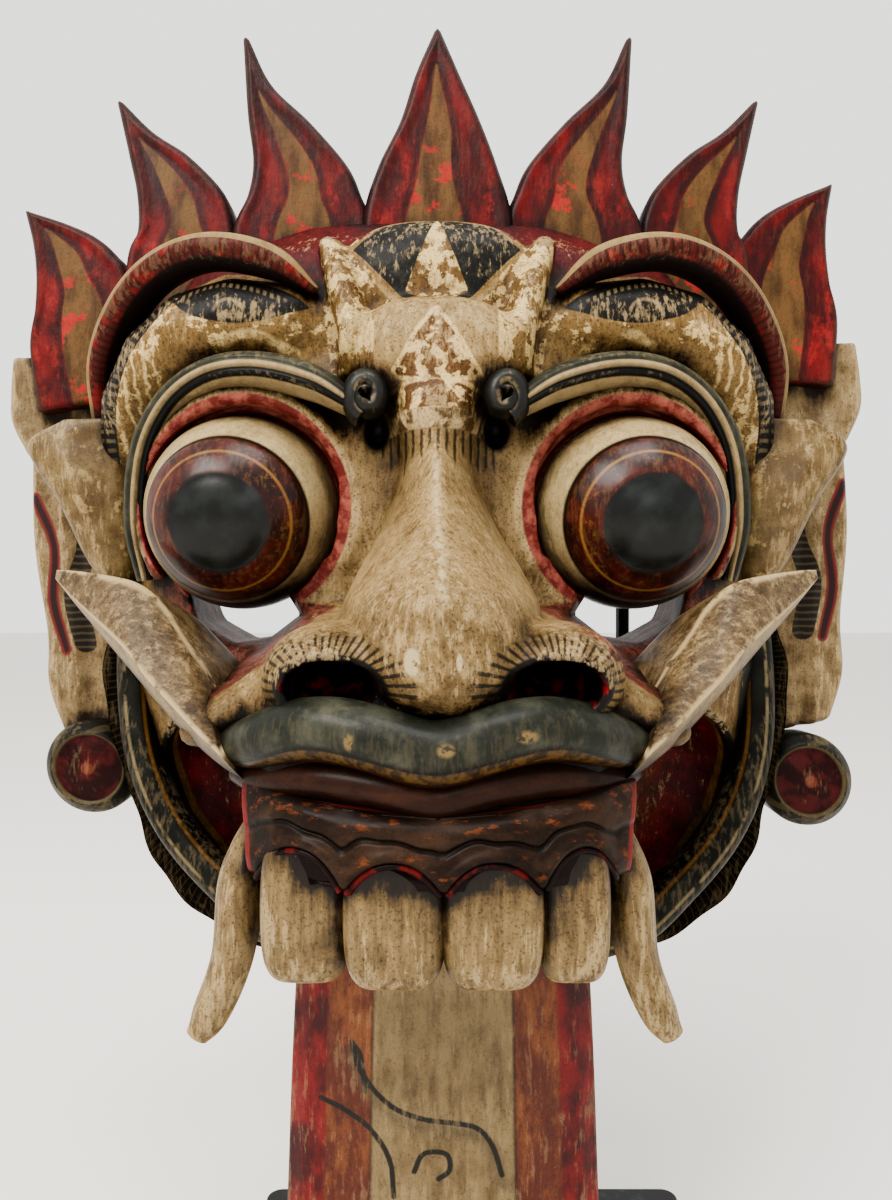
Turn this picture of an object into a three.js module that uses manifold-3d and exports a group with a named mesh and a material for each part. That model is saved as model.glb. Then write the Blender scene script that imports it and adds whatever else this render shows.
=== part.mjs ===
// A carved and painted wooden dragon mask with a hanging tongue, on its metal display stand.
// Millimetres. x runs to the right of someone facing the mask, y runs from the face to the back, z is up.
// The carving is laid out round the middle of the eyes, with the eyes' own plane at y = 0.
import * as THREE from "three";
import { mergeVertices } from "three/addons/utils/BufferGeometryUtils.js";
import Module from "manifold-3d";

// Driving dimensions of the mask
const maskHeight = 276; // from the tip of the middle flame to the underside of the beard
const maskWall = 11; // wood left between the forehead and the hollow
const eyeRadius = 26.5;
const eyeSpacing = 107; // between the middles of the eyeballs
const eyeSlitHeight = 9.5; // the gap under each eyeball that the wearer looks through
const nostrilBore = 5.5; // across the drilled end of each nostril
const flameThickness = 13;
const tuskReach = 101; // from the middle of the mask to the tip of a rising tusk
const fangLength = 42;
const toothHeight = 29;
const earringRadius = 15;
const lipRadius = 5.5; // the rim round the open lower jaw
const handLean = 0.035; // the jaw, ears and outer flames lean this much, as a hand-made carving's do

// Driving dimensions of the tongue
const tongueDrop = 118; // from the lower lip to the tip
const tongueWidth = 78; // where it leaves the mouth
const tongueFlare = 10; // how much wider it is near its tip
const tongueThickness = 7;

// Driving dimensions of the stand
const plateWidth = 150;
const plateDepth = 130;
const plateThickness = 8;
const plateCorner = 5;
const tongueShift = 1.7; // the tongue hangs to one side of the middle by this much
const plateShift = 12; // and the stand is off the middle by this much
const postDiameter = 7;
const postSocket = 5; // how deep the foot of the post goes into the plate
const rodDiameter = 5;
const rodSpacing = 110; // between the two arms of the frame
const yokeRise = 22.5; // from the lower lip up to the frame's lower bar
const tongueLift = 16.5; // from the plate up to the tip of the tongue
const clearance = 0.3;

// The carving's proportions are drawn between these planes, and follow maskHeight.
const DRAWN = {
  beard: -108, // the underside of the beard
  flame: 168, // the tip of the middle flame
  back: 75, // the rim of the hollow back
  ceiling: 94, // the top of the hollow
  lip: -94, // the middle of the lower lip
  earlobe: -40.5, // the top of the earrings
};
const unit = maskHeight / (DRAWN.flame - DRAWN.beard);

const wasm = await Module();
wasm.setup();

// Points and sizes of the carving, from the drawing's own millimetres
const at = (x, y, z) => new THREE.Vector3(x, y, z).multiplyScalar(unit);
const mirrored = (points, side) => points.map(([x, y, z]) => [x * side, y, z]);
const SIDES = [1, -1];

// A closed geometry as a solid, turned so that its faces point out
function solid(geometry) {
  const bare = geometry.index ? geometry.toNonIndexed() : geometry.clone();
  bare.deleteAttribute("normal");
  bare.deleteAttribute("uv");
  const merged = mergeVertices(bare, 1e-3);
  const triVerts = new Uint32Array(merged.index.array);
  const vertProperties = merged.attributes.position.array;
  if (signedVolume(vertProperties, triVerts) < 0) {
    for (let i = 0; i < triVerts.length; i += 3) {
      [triVerts[i + 1], triVerts[i + 2]] = [triVerts[i + 2], triVerts[i + 1]];
    }
  }
  return new wasm.Manifold(new wasm.Mesh({ numProp: 3, vertProperties, triVerts }));
}

function signedVolume(positions, corners) {
  const [a, b, c] = [new THREE.Vector3(), new THREE.Vector3(), new THREE.Vector3()];
  let volume = 0;
  for (let i = 0; i < corners.length; i += 3) {
    a.fromArray(positions, corners[i] * 3);
    b.fromArray(positions, corners[i + 1] * 3);
    c.fromArray(positions, corners[i + 2] * 3);
    volume += a.dot(b.cross(c));
  }
  return volume / 6;
}

// A closed skin over rings of points, with as many points in each ring and a fan over each end
function loft(rings) {
  const count = rings[0].length;
  const points = rings.flat();
  const corners = [];
  for (let r = 0; r + 1 < rings.length; r++) {
    for (let i = 0; i < count; i++) {
      const next = (i + 1) % count;
      const [a, b] = [r * count + i, r * count + next];
      corners.push(a, b, b + count, a, b + count, a + count);
    }
  }
  for (const [ring, flip] of [[0, true], [rings.length - 1, false]]) {
    const middle = new THREE.Vector3();
    rings[ring].forEach((p) => middle.add(p));
    const hub = points.push(middle.divideScalar(count)) - 1;
    for (let i = 0; i < count; i++) {
      const [a, b] = [ring * count + i, ring * count + ((i + 1) % count)];
      corners.push(...(flip ? [b, a, hub] : [a, b, hub]));
    }
  }
  const geometry = new THREE.BufferGeometry().setFromPoints(points);
  geometry.setIndex(corners);
  return solid(geometry);
}

// A rounded bar along a smooth curve. Each stop is [x, y, z, half width, half depth], and depth lies along y.
function bar(stops, steps, sides) {
  const curve = new THREE.CatmullRomCurve3(stops.map(([x, y, z]) => at(x, y, z)), false, "centripetal");
  const sizes = new THREE.CatmullRomCurve3(stops.map((s) => at(s[3], s[4], 0)));
  const rings = [];
  for (let i = 0; i <= steps; i++) {
    const t = i / steps;
    const middle = curve.getPoint(t);
    const along = curve.getTangent(t);
    const across = new THREE.Vector3().crossVectors(along, new THREE.Vector3(0, 1, 0)).normalize();
    const deep = new THREE.Vector3().crossVectors(across, along).normalize();
    const size = sizes.getPoint(t);
    const ring = [];
    for (let k = 0; k < sides; k++) {
      const angle = (2 * Math.PI * k) / sides;
      ring.push(
        middle
          .clone()
          .addScaledVector(across, Math.max(size.x, 0.2) * Math.cos(angle))
          .addScaledVector(deep, Math.max(size.y, 0.2) * Math.sin(angle)),
      );
    }
    rings.push(ring);
  }
  return loft(rings);
}

// A ball stretched to three radii. Power 2 is an ellipsoid, and a higher power is nearer to a rounded box.
function ball(centre, radii, power = 2, across = 12, down = 8) {
  const geometry = new THREE.SphereGeometry(1, across, down);
  const position = geometry.attributes.position;
  const point = new THREE.Vector3();
  for (let i = 0; i < position.count; i++) {
    point.fromBufferAttribute(position, i);
    const sum = Math.abs(point.x) ** power + Math.abs(point.y) ** power + Math.abs(point.z) ** power;
    point.divideScalar(sum ** (1 / power));
    position.setXYZ(i, point.x * radii[0], point.z * radii[1], point.y * radii[2]);
  }
  geometry.scale(unit, unit, unit);
  geometry.translate(...at(...centre).toArray());
  return solid(geometry);
}

// A flat carved board with bevelled edges, from an outline in x and z
function board(shape, front, thickness, bevel, curveSegments = 5) {
  const geometry = new THREE.ExtrudeGeometry(shape, {
    depth: thickness - 2 * bevel,
    bevelEnabled: true,
    bevelThickness: bevel,
    bevelSize: bevel,
    bevelOffset: -bevel,
    bevelSegments: 1,
    curveSegments,
  });
  geometry.rotateX(Math.PI / 2);
  geometry.translate(0, front + thickness - bevel, 0);
  return solid(geometry);
}

const joined = (solids) => wasm.Manifold.union(solids);

function meshOf(name, manifold, colour, roughness, metalness = 0) {
  const { vertProperties, triVerts } = manifold.getMesh();
  const geometry = new THREE.BufferGeometry();
  geometry.setAttribute("position", new THREE.BufferAttribute(new Float32Array(vertProperties), 3));
  geometry.setIndex(new THREE.BufferAttribute(new Uint32Array(triVerts), 1));
  const mesh = new THREE.Mesh(geometry, new THREE.MeshStandardMaterial({ color: colour, roughness, metalness }));
  mesh.name = name;
  return mesh;
}

// The dome of the head, as level rings: [height, half width, where its front lies, how square it is]
const HEAD_LEVELS = [
  [-107, 26, 14, 2.6],
  [-101, 52, 9, 3],
  [-86, 76, 7, 3.6],
  [-66, 89, 5, 4],
  [-45, 96, 2, 4],
  [-20, 100, -4, 4],
  [0, 101, -9, 3],
  [20, 103, -12, 2.6],
  [50, 104, -10, 2.6],
  [80, 100, -3, 2.6],
  [100, 88, 4, 2.6],
  [112, 70, 14, 2.6],
];

// The hollow is measured in from that dome at the forehead. Lower down it keeps behind the open mouth.
const HOLLOW_LEVELS = [
  [-88, 44, 64, 2.6],
  [-70, 66, 62, 3],
  [-50, 78, 61, 3],
  [-36, 84, 59, 3],
  [-22, 88, 46, 3],
  [-6, 90, 24, 2.8],
  [12, 91, 12, 2.6],
  [50, 93, 12, 2.6],
  [80, 90, 15, 2.6],
  [DRAWN.ceiling, 83, 22, 2.6],
];
const DRAWN_WALL = 11;

function dome(levels, back, inset, segments) {
  return loft(
    levels.map(([z, halfWidth, front, squareness]) => {
      const ring = [];
      for (let i = 0; i <= segments; i++) {
        const angle = (Math.PI * i) / segments;
        const x = (halfWidth * unit - inset) * Math.sign(Math.cos(angle)) * Math.abs(Math.cos(angle)) ** (2 / squareness);
        const deep = back - (front * unit + inset);
        ring.push(new THREE.Vector3(x, back - deep * Math.sin(angle) ** (2 / squareness), z * unit));
      }
      return ring;
    }),
  );
}

// A sideways lean about the middle of the brow, which the carver's hand gave some of the parts
function leant(made, rise = 0) {
  const brow = 44 * unit;
  return made.transform([1, 0, rise, 0, 0, 1, 0, 0, -handLean, 0, 1, 0, handLean * brow, 0, 0, 1]);
}

const head = () => dome(HEAD_LEVELS, DRAWN.back * unit, 0, 14);

function hollow() {
  const past = 6;
  return dome(HOLLOW_LEVELS, DRAWN.back * unit + past, maskWall - DRAWN_WALL * unit, 8);
}

const mouthCavity = () => ball([0, 14, -58], [85, 36, 36], 3, 12, 8);

// The lid's pink scoop under an eyeball, narrowing to the slit that runs on into the hollow
function eyeSlit(side) {
  const eye = eyeSpacing / 2 / unit;
  const floor = 24 - eyeRadius / unit - eyeSlitHeight / unit;
  const scoop = [
    [eye + 23, -30, 12],
    [eye + 19, -30, -6],
    [eye + 5, -30, floor - 15],
    [eye - 12, -30, floor - 3],
    [eye - 29, -30, -3],
    [eye - 18, -30, 14],
    [eye + 2, -30, 20],
  ];
  const slit = [
    [eye + 17, 3, 5],
    [eye + 13, 3, -6],
    [eye + 3, 3, floor],
    [eye - 7, 3, floor + 1.5],
    [eye - 15, 3, -4],
    [eye - 9, 3, 6],
    [eye + 2, 3, 8],
  ];
  const through = slit.map(([x, , z]) => [x, 60, z]);
  return loft([scoop, slit, through].map((ring) => mirrored(ring, side).map((p) => at(...p))));
}

function eyeball(side) {
  return ball([(side * eyeSpacing) / 2 / unit, 0, 24], [eyeRadius / unit, 28, eyeRadius / unit], 2, 14, 10);
}

// The raised rim round an eyeball, and the dark roll over it that ends in a curl beside the nose
function eyeRim(side) {
  const eye = eyeSpacing / 2 / unit - 2;
  const reach = eyeRadius / unit + 2.5;
  const stops = [];
  for (let i = 0; i <= 9; i++) {
    const angle = THREE.MathUtils.degToRad(-28 + 236 * (i / 9));
    const out = Math.cos(angle);
    stops.push([side * (eye + reach * out), -11 + 8 * out * out + 3 * out, 25 + reach * Math.sin(angle), 2.6, 4.5]);
  }
  return bar(stops, 10, 4);
}

function browRoll(side) {
  const stops = [
    [21, -17, 50, 3, 6],
    [32, -15, 56.5, 4.5, 8],
    [47, -12, 60.5, 4.8, 8.5],
    [61, -8, 59.5, 4.8, 8.5],
    [73, -3, 52.5, 4.8, 8],
    [80.5, 1, 40, 4.8, 8],
    [83, 4, 22, 4.8, 8],
    [81.5, 6, 6, 3.5, 6],
  ];
  return bar(stops.map(([x, ...rest]) => [x * side, ...rest]), 10, 5);
}

function browCurl(side) {
  const stops = [];
  for (let i = 0; i <= 8; i++) {
    const angle = THREE.MathUtils.degToRad(-60 + 330 * (i / 8));
    stops.push([side * (17.5 + 3.4 * Math.cos(angle)), -19, 51.5 + 4.8 * Math.sin(angle), 2.7, 5]);
  }
  return bar(stops, 9, 5);
}

// The broad red brow that frames the forehead, and the leaf that stands out beside the temple
function outerBrow(side) {
  const stops = [
    [33, -4, 84, 1.5, 3],
    [45, -6, 91.5, 4.4, 6],
    [62, -4, 95, 4.8, 7],
    [78, 3, 92, 5, 7.5],
    [91, 12, 83, 5, 8],
    [100, 21, 69, 4.5, 8],
    [102, 28, 51, 3.5, 6],
  ];
  return bar(stops.map(([x, ...rest]) => [x * side, ...rest]), 10, 5);
}

// The crescent swell between that brow and the dark roll, which runs down to the temple
function browSwell(side) {
  const stops = [
    [28, 3, 74, 6, 8],
    [42, 3, 75.5, 10.5, 11],
    [56, 4, 75, 11.5, 12],
    [68, 6, 72, 11.5, 12],
    [79, 10, 66, 10, 12],
    [89, 17, 56, 8, 11],
    [95, 24, 42, 5, 9],
  ];
  return bar(stops.map(([x, ...rest]) => [x * side, ...rest]), 7, 6);
}

function templeLeaf(side) {
  const leaf = (z, inner, outer, front, back) => [
    at(side * inner, front, z),
    at(side * outer, (front + back) / 2, z),
    at(side * inner, back, z),
    at(side * (inner - 12), back, z),
    at(side * (inner - 12), front + 4, z),
  ];
  return loft([
    leaf(52, 104, 112, 20, 36),
    leaf(46, 110, 123, 14, 32),
    leaf(30, 106, 114, 12, 32),
    leaf(12, 99, 105, 14, 32),
    leaf(4, 94, 97, 20, 32),
  ]);
}

// The muzzle, as upright rings: [how far back, half width, underside, top]
function muzzle() {
  const levels = [
    [34, 54, -52, 2],
    [-8, 51, -56, 0],
    [-34, 46, -57, -5],
    [-48, 42.5, -57, -10],
    [-58, 35, -56, -15],
    [-64, 22, -55, -20],
  ];
  const segments = 14;
  return loft(
    levels.map(([y, halfWidth, bottom, top]) =>
      Array.from({ length: segments }, (_, i) => {
        const angle = (2 * Math.PI * i) / segments;
        const [c, s] = [Math.cos(angle), Math.sin(angle)];
        const squared = (v) => Math.sign(v) * Math.abs(v) ** 0.55;
        return at(halfWidth * squared(c), y, (top + bottom) / 2 + ((top - bottom) / 2) * squared(s));
      }),
    ),
  );
}

// A lip or gum roll that follows the front of the muzzle. Its height rises at the sides of the dip in its middle.
function lipRoll(halfWidth, front, height, droop, rise, halfHeight, halfDepth) {
  const stops = [];
  for (let i = -4; i <= 4; i++) {
    const share = i / 4;
    const bow = 1 - Math.abs(share) ** 2.4;
    const y = front + 21 * (1 - bow);
    const z = height - droop * share ** 4 + rise * Math.sin(Math.PI * Math.abs(share)) ** 2;
    const thin = 1 - 0.45 * share ** 6;
    stops.push([halfWidth * share, y, z, halfHeight * thin, halfDepth * thin]);
  }
  return bar(stops, 10, 6);
}

function upperLip() {
  return joined([
    lipRoll(47, -65, -30.5, 3, 3.5, 7, 7),
    lipRoll(45, -62, -40, 0, 2, 4.6, 6),
    lipRoll(44, -60, -47.5, -1, 1.2, 4.4, 5.5),
  ]);
}

function teeth() {
  const edges = [-36.8, -18.4, 2, 22.4, 37.2];
  const top = -52;
  const drawnToothHeight = toothHeight / unit;
  const row = [];
  for (let i = 0; i + 1 < edges.length; i++) {
    const [left, right] = [edges[i], edges[i + 1]];
    const inner = i === 1 || i === 2;
    const length = drawnToothHeight + (inner ? 0 : 1);
    const centre = [(left + right) / 2, inner ? -59 : -53, top - length / 2 + 2];
    row.push(ball(centre, [(right - left) / 2 + 0.6, 8.5, length / 2 + 2], 4, 10, 6));
  }
  return joined(row);
}

function fang(side) {
  const drop = fangLength / unit;
  const stops = [
    [38, -44, -46, 4, 5],
    [41, -45, -53, 6, 6],
    [43, -45, -56 - 0.28 * drop, 5.6, 6],
    [46, -46, -56 - 0.62 * drop, 4.8, 5],
    [50.5, -47, -56 - 0.88 * drop, 4.2, 4.2],
    [53.5, -48, -56 - drop, 2.6, 2.6],
  ];
  return bar(stops.map(([x, ...rest]) => [x * side, ...rest]), 7, 6);
}

// A rising tusk has a broad upper facet, a narrow lower one and a ridge between them.
function tusk(side) {
  const reach = tuskReach / unit;
  const rings = [
    [[40, -46, -44], [46, -57, -34], [64, -26, 2], [58, -4, -4], [52, -2, -38]],
    [[58, -40, -32], [60, -46, -24], [73, -25, 5], [66, -10, 0], [64, -20, -26]],
    [[reach - 26, -30, -17], [reach - 26, -35, -11], [reach - 17, -22, 7], [reach - 22, -18, 4], [reach - 22, -22, -10]],
    [[reach - 9, -17, -3], [reach - 8.5, -20, 0], [reach - 6, -16, 8], [reach - 8, -13, 6], [reach - 8, -13, 0]],
    [[reach - 1, -12, 4.6], [reach - 1, -14, 5.6], [reach - 1, -13, 8], [reach - 1, -11, 7.5], [reach - 1, -10.5, 5.6]],
  ];
  return loft(rings.map((ring) => mirrored(ring, side).map((p) => at(...p))));
}

function nose() {
  const bridge = [
    [0, -12, 50, 9, 9],
    [0, -20, 38, 11, 11],
    [0.5, -32, 22, 17, 13],
    [1.5, -42, 8, 24, 16],
    [2, -48, -6, 27, 18],
    [2, -47, -19, 22, 14],
  ];
  const wings = SIDES.map((side) => ball([2 + side * 24.5, -46, -17.5], [15, 19, 11.5], 2, 10, 6));
  return joined([bar(bridge, 7, 10), ball([2, -51, -12], [22, 21, 12.5], 2, 10, 6), ...wings]);
}

// A nostril runs back from the wing of the nose, and narrows to a drilled hole into the hollow.
function nostril(side) {
  const bore = nostrilBore / 2 / unit;
  const funnel = [
    [24, -78, -20, 11, 7],
    [24, -58, -18.5, 9.5, 6],
    [24, -38, -15, bore, bore],
    [22, 60, 14, bore, bore],
  ];
  const ring = ([x, y, z, rx, rz]) =>
    Array.from({ length: 8 }, (_, i) => {
      const angle = (2 * Math.PI * i) / 8;
      return at(2 + side * (x + rx * Math.cos(angle)), y, z + rz * Math.sin(angle));
    });
  return loft(funnel.map(ring));
}

function cheekFold(side) {
  const stops = [
    [26, -34, -1, 3, 5],
    [36, -38, -9, 4.5, 7],
    [46, -40, -19, 5, 8],
    [52, -40, -28, 3, 6],
  ];
  return bar(stops.map(([x, ...rest]) => [x * side, ...rest]), 5, 5);
}

// The rim of the open lower jaw, from one temple under the chin to the other, and the beard outside it
function jawRim() {
  const half = [
    [94, 26, -2],
    [93.5, 22, -28],
    [89.5, 17, -48],
    [80, 12, -66],
    [65, 7, -81],
    [48, 3, DRAWN.lip + 1],
    [28, 3, DRAWN.lip],
  ];
  const radius = lipRadius / unit;
  const sized = half.map((p) => [...p, radius, radius]);
  const other = sized.map(([x, ...rest]) => [-x, ...rest]).reverse();
  return bar([...sized, [0, 3, DRAWN.lip, radius, radius], ...other], 16, 6);
}

function beard() {
  const half = [
    [104, 40, -6, 2, 4],
    [105, 40, -22, 5, 6],
    [101, 38, -42, 6, 7],
    [94, 34, -60, 6, 7],
    [85, 29, -76, 8, 8],
    [72, 25, -88, 9, 8],
    [52, 21, -97, 8.5, 8],
    [28, 19, -100, 8, 8],
  ];
  const other = half.map(([x, ...rest]) => [-x, ...rest]).reverse();
  return bar([...half, [0, 18, -100, 7.5, 8], ...other], 16, 5);
}

function ear(side) {
  const flank = new THREE.Shape();
  flank.moveTo(90, 56);
  flank.lineTo(134, 58);
  flank.quadraticCurveTo(137, 40, 134, 22);
  flank.quadraticCurveTo(136, 4, 131, -11);
  flank.quadraticCurveTo(132, -26, 127, -42);
  flank.lineTo(104, -48);
  flank.lineTo(90, -20);
  flank.closePath();
  const crest = new THREE.Shape();
  crest.moveTo(96, 70);
  crest.lineTo(112, 80);
  crest.quadraticCurveTo(128, 86, 137, 81);
  crest.lineTo(138.5, 62);
  crest.lineTo(133, 50);
  crest.lineTo(110, 44);
  crest.lineTo(94, 50);
  crest.closePath();
  const made = joined([placed(flank, 46, 18, 2.5), placed(crest, 41, 22, 3)]);
  return leant(side > 0 ? made : made.mirror([1, 0, 0]), 0.018);
}

// A board drawn in the carving's own millimetres
function placed(shape, front, thickness, bevel, curveSegments = 3) {
  return board(shape, front, thickness, bevel, curveSegments).scale([unit, unit, unit]);
}

function earring(side) {
  const radius = earringRadius / unit;
  const profile = [
    [0, -14],
    [0.62, -13],
    [0.9, -10],
    [1, -3],
    [0.96, 8],
    [0.8, 12],
    [0, 12],
  ].map(([share, deep]) => new THREE.Vector2(share * radius, deep));
  const geometry = new THREE.LatheGeometry(profile, 10);
  geometry.translate(side * 114.5, 48, DRAWN.earlobe - radius);
  geometry.scale(unit, unit, unit);
  return leant(solid(geometry), -0.018);
}

// The flames of the crown: their inner edge bellies out and their outer edge is hollow.
const FLAMES = [
  { root: [20, 95], start: [20, 112], belly: [34, 140], tip: [57, 167], hollow: [52, 140], end: [61, 110], foot: [63, 90], front: 16 },
  { root: [58, 90], start: [61, 110], belly: [74, 137], tip: [97, 152], hollow: [91, 130], end: [95, 104], foot: [97, 76], front: 23 },
  { root: [90, 70], start: [95, 104], belly: [106, 126], tip: [127, 127], hollow: [124, 106], end: [128, 84], foot: [126, 66], front: 33 },
];
const OUTER_FLAME = FLAMES.length - 1;

function flame(index, side) {
  const drawn = FLAMES[index];
  const shape = new THREE.Shape();
  shape.moveTo(...drawn.root);
  shape.lineTo(...drawn.start);
  shape.quadraticCurveTo(...drawn.belly, ...drawn.tip);
  shape.quadraticCurveTo(...drawn.hollow, ...drawn.end);
  shape.lineTo(...drawn.foot);
  shape.closePath();
  const made = placed(shape, drawn.front, flameThickness / unit, 2);
  const turned = side > 0 ? made : made.mirror([1, 0, 0]);
  return index === OUTER_FLAME ? leant(turned, 0.033) : turned;
}

function middleFlame() {
  const shape = new THREE.Shape();
  shape.moveTo(-22, 92);
  shape.lineTo(-22, 112);
  shape.quadraticCurveTo(-10, 138, 0, 168);
  shape.quadraticCurveTo(10, 138, 22, 112);
  shape.lineTo(22, 92);
  shape.closePath();
  return placed(shape, 13, flameThickness / unit, 2);
}

// The knob and leaves in the middle of the forehead
function browKnob() {
  const leaf = new THREE.Shape();
  leaf.moveTo(-9, 80);
  leaf.quadraticCurveTo(-6, 94, 0, 103);
  leaf.quadraticCurveTo(6, 94, 9, 80);
  leaf.closePath();
  return joined([
    ball([0, -8, 62], [23, 17, 17], 2.4, 10, 6),
    ball([0, -12, 50], [11, 14, 12], 2, 10, 6),
    ball([0, 4, 86], [27, 15, 19], 2.4, 10, 6),
    placed(leaf, -16, 12, 2),
    ...SIDES.map((side) => ball([side * 24, -2, 78], [7, 10, 15], 2.6, 8, 4)),
  ]);
}

function mask() {
  const shell = leant(joined([head(), beard()]).subtract(mouthCavity()));
  const face = joined([
    shell,
    muzzle(),
    leant(jawRim()),
    browKnob(),
    middleFlame(),
    nose(),
    ...FLAMES.flatMap((_, index) => SIDES.map((side) => flame(index, side))),
    ...SIDES.flatMap((side) => [outerBrow(side), browSwell(side), templeLeaf(side)]),
    ...SIDES.flatMap((side) => [ear(side), earring(side), cheekFold(side)]),
  ]);
  const dressed = joined([
    face.subtract(joined(SIDES.map(eyeSlit))),
    upperLip(),
    teeth(),
    ...SIDES.flatMap((side) => [eyeball(side), eyeRim(side), browRoll(side), browCurl(side)]),
    ...SIDES.flatMap((side) => [tusk(side), fang(side)]),
  ]);
  return dressed.subtract(joined([leant(hollow()), ...SIDES.map(nostril)]));
}

// The tongue lies on the lower lip, bends over it and hangs in front of the chin.
const lipTop = DRAWN.lip * unit + lipRadius;
const lipFront = 3 * unit - lipRadius;
const tongueRoot = lipTop + clearance + tongueThickness / 2;
const tongueFace = lipFront - clearance - tongueThickness / 2;

function tongue() {
  const bend = tongueThickness / 2 + clearance + lipRadius;
  const tip = tongueRoot - tongueDrop;
  const path = new THREE.CatmullRomCurve3(
    [
      [34 * unit, tongueRoot + 6],
      [16 * unit, tongueRoot + 1],
      [3 * unit, tongueRoot],
      [3 * unit - 0.75 * bend, tongueRoot - 0.32 * bend],
      [tongueFace, tongueRoot - bend],
      [tongueFace - 1, tongueRoot - 0.35 * tongueDrop],
      [tongueFace + 1, tongueRoot - 0.7 * tongueDrop],
      [tongueFace - 3, tip],
    ].map(([y, z]) => new THREE.Vector3(tongueShift, y, z)),
    false,
    "centripetal",
  );
  const steps = 19;
  const rings = [];
  for (let i = 0; i <= steps; i++) {
    const t = i / steps;
    const middle = path.getPoint(t);
    const along = path.getTangent(t);
    const out = new THREE.Vector3(0, along.z, -along.y).normalize();
    const hang = THREE.MathUtils.clamp((tongueRoot - middle.z) / tongueDrop, 0, 1);
    const taper = Math.sqrt(Math.max(0.02, 1 - Math.max(0, (hang - 0.8) / 0.2) ** 2));
    const halfWidth = ((tongueWidth + tongueFlare * hang) / 2) * (0.22 + 0.78 * taper);
    rings.push(tongueSection(middle, out, halfWidth, tongueThickness / 2));
  }
  return loft(rings);
}

// Across the tongue: a flat middle strip, sides that slope away and thin edges
function tongueSection(middle, out, halfWidth, halfDepth) {
  const front = [
    [-1, 0],
    [-0.9, 0.55],
    [-0.48, 0.85],
    [-0.45, 1],
    [0.45, 1],
    [0.48, 0.85],
    [0.9, 0.55],
    [1, 0],
    [0.9, -1],
    [-0.9, -1],
  ];
  return front.map(([share, deep]) =>
    middle
      .clone()
      .add(new THREE.Vector3(share * halfWidth, 0, 0))
      .addScaledVector(out, deep * halfDepth),
  );
}

// The stand: a plate, and a frame of one bent rod welded to a post. The mask hangs in front of its back plane,
// with the ceiling of the hollow on the frame's upper bar.
const plateTop = tongueRoot - tongueDrop - tongueLift;
const plateMiddle = 20 * unit;
const rodRadius = rodDiameter / 2;
const postRadius = postDiameter / 2;
const rodBack = DRAWN.back * unit + clearance + Math.max(rodRadius, postRadius);
const crossbarHeight = DRAWN.ceiling * unit - clearance - rodRadius;
const crossbarDepth = 50 * unit;

function standPlate() {
  const [halfWidth, halfDepth] = [plateWidth / 2, plateDepth / 2];
  const shape = new THREE.Shape();
  shape.moveTo(-halfWidth + plateCorner, -halfDepth);
  shape.lineTo(halfWidth - plateCorner, -halfDepth);
  shape.absarc(halfWidth - plateCorner, -halfDepth + plateCorner, plateCorner, -Math.PI / 2, 0);
  shape.absarc(halfWidth - plateCorner, halfDepth - plateCorner, plateCorner, 0, Math.PI / 2);
  shape.absarc(-halfWidth + plateCorner, halfDepth - plateCorner, plateCorner, Math.PI / 2, Math.PI);
  shape.absarc(-halfWidth + plateCorner, -halfDepth + plateCorner, plateCorner, Math.PI, 1.5 * Math.PI);
  const geometry = new THREE.ExtrudeGeometry(shape, { depth: plateThickness, bevelEnabled: false, curveSegments: 5 });
  geometry.translate(plateShift, plateMiddle, plateTop - plateThickness);
  const socket = cylinder(postRadius + clearance, plateTop - postSocket, plateTop + postSocket);
  return solid(geometry).subtract(socket);
}

// An upright cylinder on the post's own axis
function cylinder(radius, low, high) {
  const geometry = new THREE.CylinderGeometry(radius, radius, high - low, 14);
  geometry.rotateX(Math.PI / 2);
  geometry.translate(plateShift, rodBack, (low + high) / 2);
  return solid(geometry);
}

// A round rod through a row of points, with a ring square to the rod at each
function rod(points, radius, sides) {
  let across = new THREE.Vector3(0, -1, 0);
  return loft(
    points.map((point, i) => {
      const before = points[Math.max(i - 1, 0)];
      const after = points[Math.min(i + 1, points.length - 1)];
      const along = after.clone().sub(before).normalize();
      across = across.clone().addScaledVector(along, -across.dot(along)).normalize();
      const deep = new THREE.Vector3().crossVectors(along, across);
      return Array.from({ length: sides }, (_, k) => {
        const angle = (2 * Math.PI * k) / sides;
        return point
          .clone()
          .addScaledVector(across, radius * Math.cos(angle))
          .addScaledVector(deep, radius * Math.sin(angle));
      });
    }),
  );
}

// The same points with each inner corner bent round
function bent(corners, turn) {
  const path = [corners[0]];
  for (let i = 1; i + 1 < corners.length; i++) {
    const towards = (p) => corners[i].clone().add(p.clone().sub(corners[i]).setLength(turn));
    const bend = new THREE.QuadraticBezierCurve3(towards(corners[i - 1]), corners[i], towards(corners[i + 1]));
    path.push(...bend.getPoints(3));
  }
  return [...path, corners.at(-1)];
}

function standFrame() {
  const shoulder = crossbarHeight - (rodBack - crossbarDepth);
  const yoke = lipTop + yokeRise;
  const arm = (side) => {
    const x = plateShift + (side * rodSpacing) / 2;
    return [
      new THREE.Vector3(plateShift - side, rodBack, yoke),
      new THREE.Vector3(x, rodBack, yoke),
      new THREE.Vector3(x, rodBack, shoulder),
      new THREE.Vector3(x, crossbarDepth, crossbarHeight),
    ];
  };
  const loop = rod(bent([...arm(1), ...arm(-1).reverse()], 10), rodRadius, 8);
  return joined([loop, cylinder(postRadius, plateTop - postSocket + clearance, yoke + 2 * rodRadius)]);
}

const group = new THREE.Group();
group.add(meshOf("mask", mask(), 0x8c7a5e, 0.65));
group.add(meshOf("tongue", tongue(), 0x9c3a2a, 0.6));
group.add(meshOf("stand_plate", standPlate(), 0x16181a, 0.5, 0.6));
group.add(meshOf("stand_frame", standFrame(), 0x16181a, 0.5, 0.6));

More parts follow.
